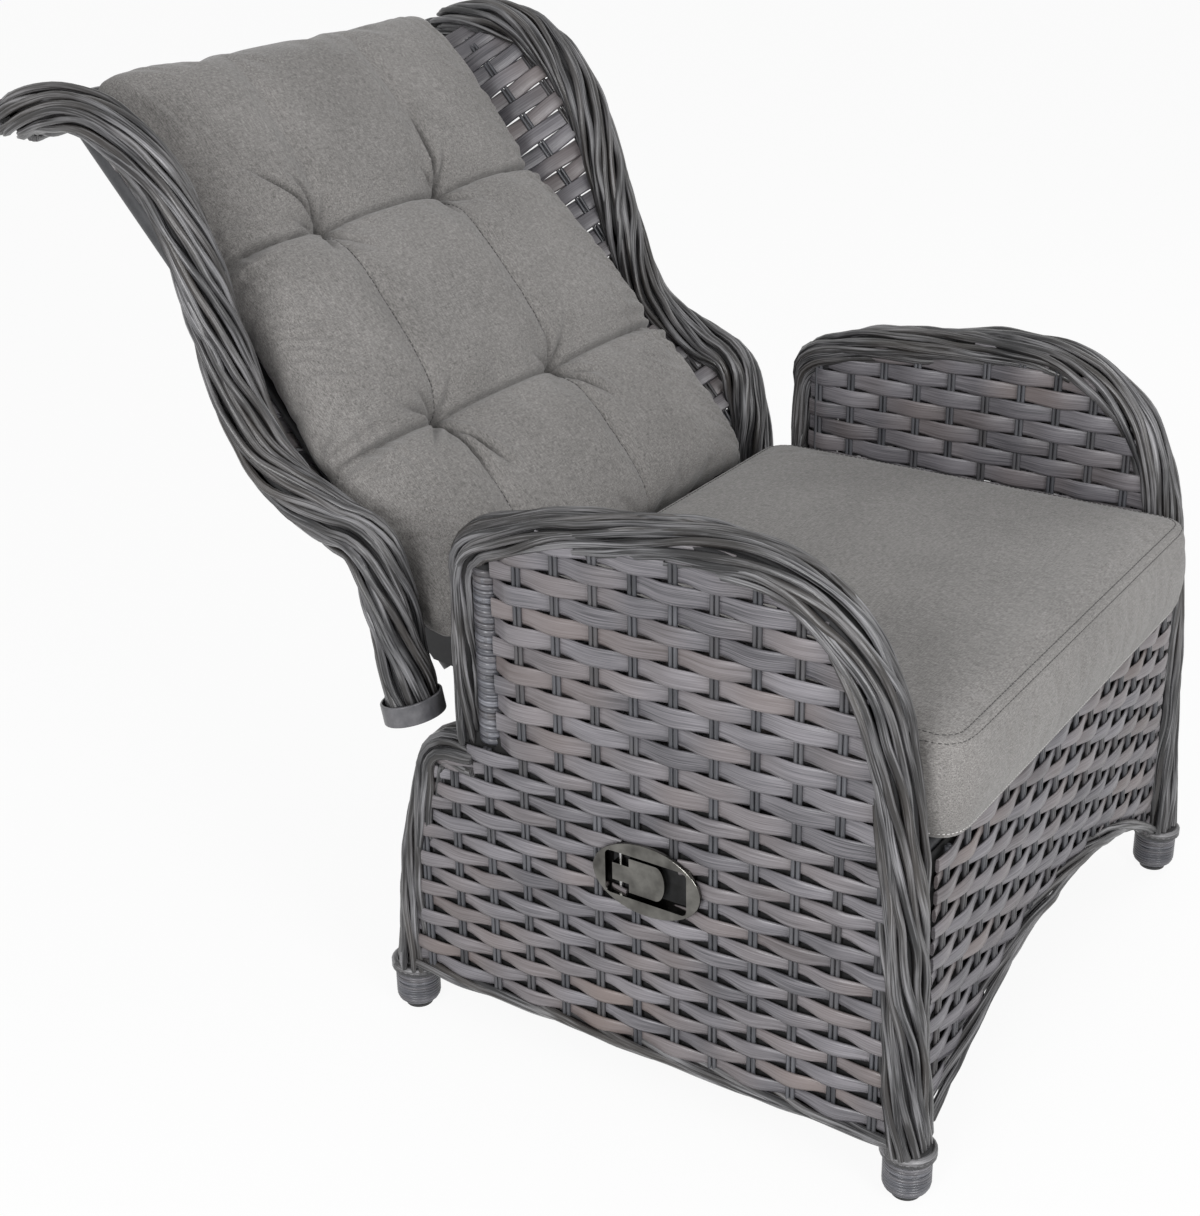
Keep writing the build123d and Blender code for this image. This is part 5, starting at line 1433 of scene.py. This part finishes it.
def creased(values, x, behind, along):
    # A place on the filled cover, drawn in along its creases, and the painted shade of its fold
    gather = values["gather"]
    row = min(values["tuftRows"], key=lambda line: abs(along - line))
    seam = min(columnsAt(values, along), key=lambda line: abs(x - line))
    # The cover's points crowd together at a crease, which makes it crisp
    if abs(along - row) < gather:
        along = row + (along - row) * math.sqrt(abs(along - row) / gather)
    if abs(x - seam) < gather / 2:
        x = seam + (x - seam) * math.sqrt(2 * abs(x - seam) / gather)
    behind += creases["groove"] * hill(along - row, creases["grooveReach"],
                                       creases["grooveSharpness"])
    below = min(1.0, math.exp((values["tuftRows"][1] - along) / creases["seamFade"]))
    behind += creases["seam"] * below * hill(x - seam, creases["seamReach"])
    # Puckers where the rows meet the sides
    aside = abs(x - values["shift"])
    edge = max(0.0, aside - creases["puckerFrom"]) / creases["puckerSpan"]
    behind += (creases["pucker"] * edge * hill(along - row, creases["puckerReach"])
               * math.cos((along - row) * creases["puckerWaves"]
                           + creases["puckerTurn"] * edge))
    wrinkle = wrinkleAt(values, x, along)
    behind += wrinkle
    # Painted shade: the cloth is darker along the rows, in the wrinkles and round the tufts
    foldAndShade = max(creases["rowShade"] * hill(along - row, creases["rowShadeReach"]),
               (wrinkle - creases["wrinkleShadeFrom"]) / creases["wrinkleShadeSpan"],
               creases["tuftShade"] * hill(math.hypot(x - seam, along - row),
                                           creases["tuftShadeReach"], 1))
    # Loose cover near the sides
    slack = clamp((aside - creases["slackFrom"]) / creases["slackSpan"])
    bend = along * creases["bendWaves"][0] + x * creases["bendWaves"][1]
    behind += creases["slack"] * slack * math.sin(
        along * creases["slackWaves"] + creases["slackBend"] * math.sin(bend))
    return x, behind, along, foldAndShade


def makeBackPad(values):
    mesh = closedForm("backPad", lambda u, v, face: backPoint(values, u, v, face),
                      values["columns"], values["rows"])
    piece = blowUp("backPad", mesh, lambda place: backHold(values, place), values)
    refine(piece)
    lean = chair["recline"]
    turn = Matrix(((1, 0, 0), (0, math.cos(lean), math.sin(lean)),
                   (0, -math.sin(lean), math.cos(lean))))
    origin = inBack(0, 0, 0)
    flat, foldShades = [], []
    for vert in piece.data.vertices:
        x, behind, along = vert.co
        foldAndShade = 0.0
        if behind < values["border"] - creases["skip"]:
            x, behind, along, foldAndShade = creased(values, x, behind, along)
        x = clamp(x, *creases["widest"])
        behind = clamp(behind, creases["deepest"], values["rear"])
        flat.append(Vector((x, along, behind)))
        foldShades.append(foldAndShade)
        vert.co = origin + turn @ Vector((x, behind, along))
    finishPad(piece, "backrest", "back_cushion", flat, foldShades)
    cover = coverOf(piece)
    inwards = inBack(0, 1, 0) - origin
    lines = []
    for number in (0, 1):
        line = [onCover(cover, inBack(columnsAt(values, along)[number], -0.2, along), inwards)
                for along in evenly(values["start"] + 0.03, values["tuftRows"][1], 150)]
        lines.append([spot for spot in line if spot is not None])
    makeStitches("backSeams", lines, "backrest", False)


def makeClothMaterial():
    # Plain-woven outdoor cloth: mottled yarn both ways, a fine diagonal rib and a soft sheen
    material, tree, surface = newMaterial("padCloth")
    place = addNode(tree, "ShaderNodeAttribute", attribute_name="cloth").outputs["Vector"]
    warp = noiseNode(tree, vectorNode(tree, "MULTIPLY", place, (1100.0, 190.0, 1100.0)), 1.0, 2.0)
    weft = noiseNode(tree, vectorNode(tree, "MULTIPLY", place, (170.0, 1000.0, 1000.0)), 1.0, 2.0)
    broad = noiseNode(tree, place, 9.0, 2.0, 0.5)
    yarn = plus(tree, times(tree, warp, 0.50), times(tree, weft, 0.36))
    mixed = plus(tree, yarn, times(tree, broad, 0.14))
    colour = rampNode(tree, mixed, [(0.36, (0.090, 0.086, 0.082)), (0.50, (0.168, 0.161, 0.155)),
                                    (0.64, (0.262, 0.252, 0.244))])
    # Painted shade: the colour is darkened by up to 62 percent where the cover lies in a fold
    foldAndShade = addNode(tree, "ShaderNodeAttribute", attribute_name="foldAndShade").outputs["Fac"]
    shade = mathNode(tree, "MULTIPLY_ADD", foldAndShade, -0.62, 1.0)
    tree.links.new(vectorNode(tree, "SCALE", colour, scale=shade), surface.inputs["Base Color"])
    for label, value in (("Roughness", 0.9), ("Sheen Weight", 0.22), ("Sheen Roughness", 0.5),
                         ("Specular IOR Level", 0.3)):
        surface.inputs[label].default_value = value
    rib = addNode(tree, "ShaderNodeTexWave", bands_direction="DIAGONAL", in_Scale=170.0,
                  in_Distortion=1.0, in_Detail=1.0)
    tree.links.new(place, rib.inputs["Vector"])
    height = plus(tree, times(tree, rib.outputs["Fac"], 0.5), times(tree, mixed, 1.2))
    addBump(tree, surface, height, 0.4, 0.0006)
    return material


padCloth = makeClothMaterial()


def finishPad(piece, body, node, places, foldShades):
    # The cloth's own place on the pad is kept for its weave, and the painted shade of its folds
    data = piece.data
    for face in data.polygons:
        face.use_smooth = True
    cloth = data.attributes.new("cloth", "FLOAT_VECTOR", "POINT")
    cloth.data.foreach_set("vector", [value for place in places for value in place])
    foldShadeAttribute = data.attributes.new("foldAndShade", "FLOAT", "POINT")
    foldShadeAttribute.data.foreach_set("value", [clamp(foldAndShade) for foldAndShade in foldShades])
    data.materials.clear()
    data.materials.append(padCloth)
    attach(piece, body)
    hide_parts(node)


# Stitches: short lengths of thread laid end to end along a seam
def makeStitchTree():
    inputs = [("Pitch", "Float"), ("Long", "Float"), ("Radius", "Float"), ("Finish", "Material")]
    tree, given, result = newGeometryTree("seamStitches", inputs)
    new = tree.links.new
    curves = addNode(tree, "GeometryNodeMeshToCurve")
    new(given.outputs["Geometry"], curves.inputs[0])
    spots = addNode(tree, "GeometryNodeCurveToPoints", mode="LENGTH")
    new(curves.outputs[0], spots.inputs["Curve"])
    new(given.outputs["Pitch"], spots.inputs["Length"])
    thread = addNode(tree, "GeometryNodeMeshCylinder", in_Vertices=5)
    new(given.outputs["Radius"], thread.inputs["Radius"])
    new(given.outputs["Long"], thread.inputs["Depth"])
    laid = addNode(tree, "GeometryNodeInstanceOnPoints")
    new(spots.outputs["Points"], laid.inputs["Points"])
    new(thread.outputs["Mesh"], laid.inputs["Instance"])
    new(spots.outputs["Rotation"], laid.inputs["Rotation"])
    dressed(tree, laid.outputs[0], given, result)
    return tree


stitchTree = makeStitchTree()
darkThread = makeSolidMaterial("darkThread", (0.030, 0.029, 0.028), (0.070, 0.068, 0.066), 0.7)
paleThread = makeSolidMaterial("paleThread", (0.42, 0.41, 0.40), (0.62, 0.61, 0.60), 0.7)


def makeStitches(name, lines, body, pale):
    blank = [(points, [(0, 0, 1)] * len(points), [0.0] * len(points), [0.0] * len(points), 0.0)
             for points in lines]
    mesh = runOnce(linesObject(name + "Lines", blank), stitchTree, {
        "Pitch": stitch["finePitch" if pale else "pitch"],
        "Long": stitch["fineLong" if pale else "long"], "Radius": stitch["radius"],
        "Finish": paleThread if pale else darkThread})
    finishPiece(name, [mesh], body)


makeSeatPad(seatPad)
makeBackPad(backPad)
print("cushions made")

# Release cable from the latch to the gas spring's head, one smooth line
cable = {
    "start": (-0.336, 0.3103, 0.258),
    "stop": (0.0, 0.1763, 0.29971),
    "lead": 0.034,
    "diameter": 0.005,
    "shares": [(0.000, -0.311, 0.000), (0.060, -0.610, 0.096), (0.179, -0.759, 0.240),
               (0.339, -0.774, 0.408), (0.500, -0.684, 0.575), (0.649, -0.490, 0.743),
               (0.774, -0.207, 0.863), (0.875, 0.137, 0.959), (0.952, 0.480, 1.007)],
}


def makeCable(values):
    start, stop = inSide(*values["start"]), inSide(*values["stop"])
    span = stop - start
    points = [start] + [start + Vector((span.x * u, span.y * v, span.z * w))
                        for u, v, w in values["shares"]]
    points += [stop + Vector((0, values["lead"], 0)), stop]
    data = bpy.data.curves.new("releaseCable", "CURVE")
    data.dimensions = "3D"
    data.resolution_u = 16
    data.bevel_depth = values["diameter"] / 2
    data.bevel_resolution = 3
    data.use_fill_caps = True
    line = data.splines.new("NURBS")
    line.points.add(len(points) - 1)
    for spot, point in zip(line.points, points):
        spot.co = (*point, 1)
    line.order_u = 3
    line.use_endpoint_u = True
    data.materials.append(plasticFinish)
    measure = data.copy()
    measure.bevel_depth = 0.0
    thin = linkObject("cableLine", measure)
    mesh = finalMesh(thin)
    bpy.data.objects.remove(thin)
    piece = linkObject("releaseCable", data)
    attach(piece, "base")
    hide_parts("release_cable")


makeCable(cable)

# Floor and soft studio light
stage = {
    "floorHalf": 40.0,
    "floorColour": (0.80, 0.80, 0.80),
    "floorRoughness": 0.95,
    "floorWhite": 0.92,
    "worldLevel": 0.62,
    "aim": (0, 0, 0.4),
    # Name, place, size and power of each lamp
    "lamps": (("keyLight", (-1.5, -3.0, 1.7), 1.2, 54.0),
              ("frontLight", (-2.7, -0.6, 1.3), 0.9, 42.0),
              ("fillLight", (2.4, -1.0, 2.2), 2.0, 18.0)),
}


def seenRay(tree):
    # 1 where something is seen directly, in a reflection or through glass, and 0 for its light
    rays = addNode(tree, "ShaderNodeLightPath").outputs
    return mathNode(tree, "MAXIMUM", rays["Is Camera Ray"],
                    mathNode(tree, "MAXIMUM", rays["Is Glossy Ray"],
                             rays["Is Transmission Ray"]))


def makeFloor(values):
    data = bpy.data.meshes.new("floor")
    half = values["floorHalf"]
    data.from_pydata([(-half, -half, 0), (half, -half, 0), (half, half, 0), (-half, half, 0)],
                     [], [(0, 1, 2, 3)])
    floor = linkObject("floor", data)
    material, tree, surface = newMaterial("floorFinish")
    surface.inputs["Base Color"].default_value = (*values["floorColour"], 1)
    surface.inputs["Roughness"].default_value = values["floorRoughness"]
    surface.inputs["Specular IOR Level"].default_value = 0.0
    # Seen directly, the floor is lifted towards white and keeps its shadow
    glow = addNode(tree, "ShaderNodeEmission", in_Color=(1, 1, 1, 1), in_Strength=1.0)
    mixed = addNode(tree, "ShaderNodeMixShader")
    for number, value in ((0, times(tree, seenRay(tree), values["floorWhite"])),
                          (1, surface.outputs[0]), (2, glow.outputs[0])):
        tree.links.new(value, mixed.inputs[number])
    tree.links.new(mixed.outputs[0], tree.nodes["Material Output"].inputs["Surface"])
    data.materials.append(material)


def makeLight(values):
    world = bpy.data.worlds.new("studio")
    bpy.context.scene.world = world
    world.use_nodes = True
    background = world.node_tree.nodes["Background"]
    background.inputs["Color"].default_value = (1, 1, 1, 1)
    level = mathNode(world.node_tree, "MULTIPLY_ADD", seenRay(world.node_tree),
                     1.0 - values["worldLevel"], values["worldLevel"])
    world.node_tree.links.new(level, background.inputs["Strength"])
    for name, place, size, power in values["lamps"]:
        lamp = bpy.data.lights.new(name, "AREA")
        lamp.energy = power
        lamp.size = size
        item = linkObject(name, lamp)
        aim = Vector(values["aim"]) - Vector(place)
        item.location = place
        item.rotation_euler = aim.to_track_quat("-Z", "Y").to_euler()


makeFloor(stage)
makeLight(stage)
bpy.context.scene.view_settings.view_transform = "Standard"

print("scene ready")
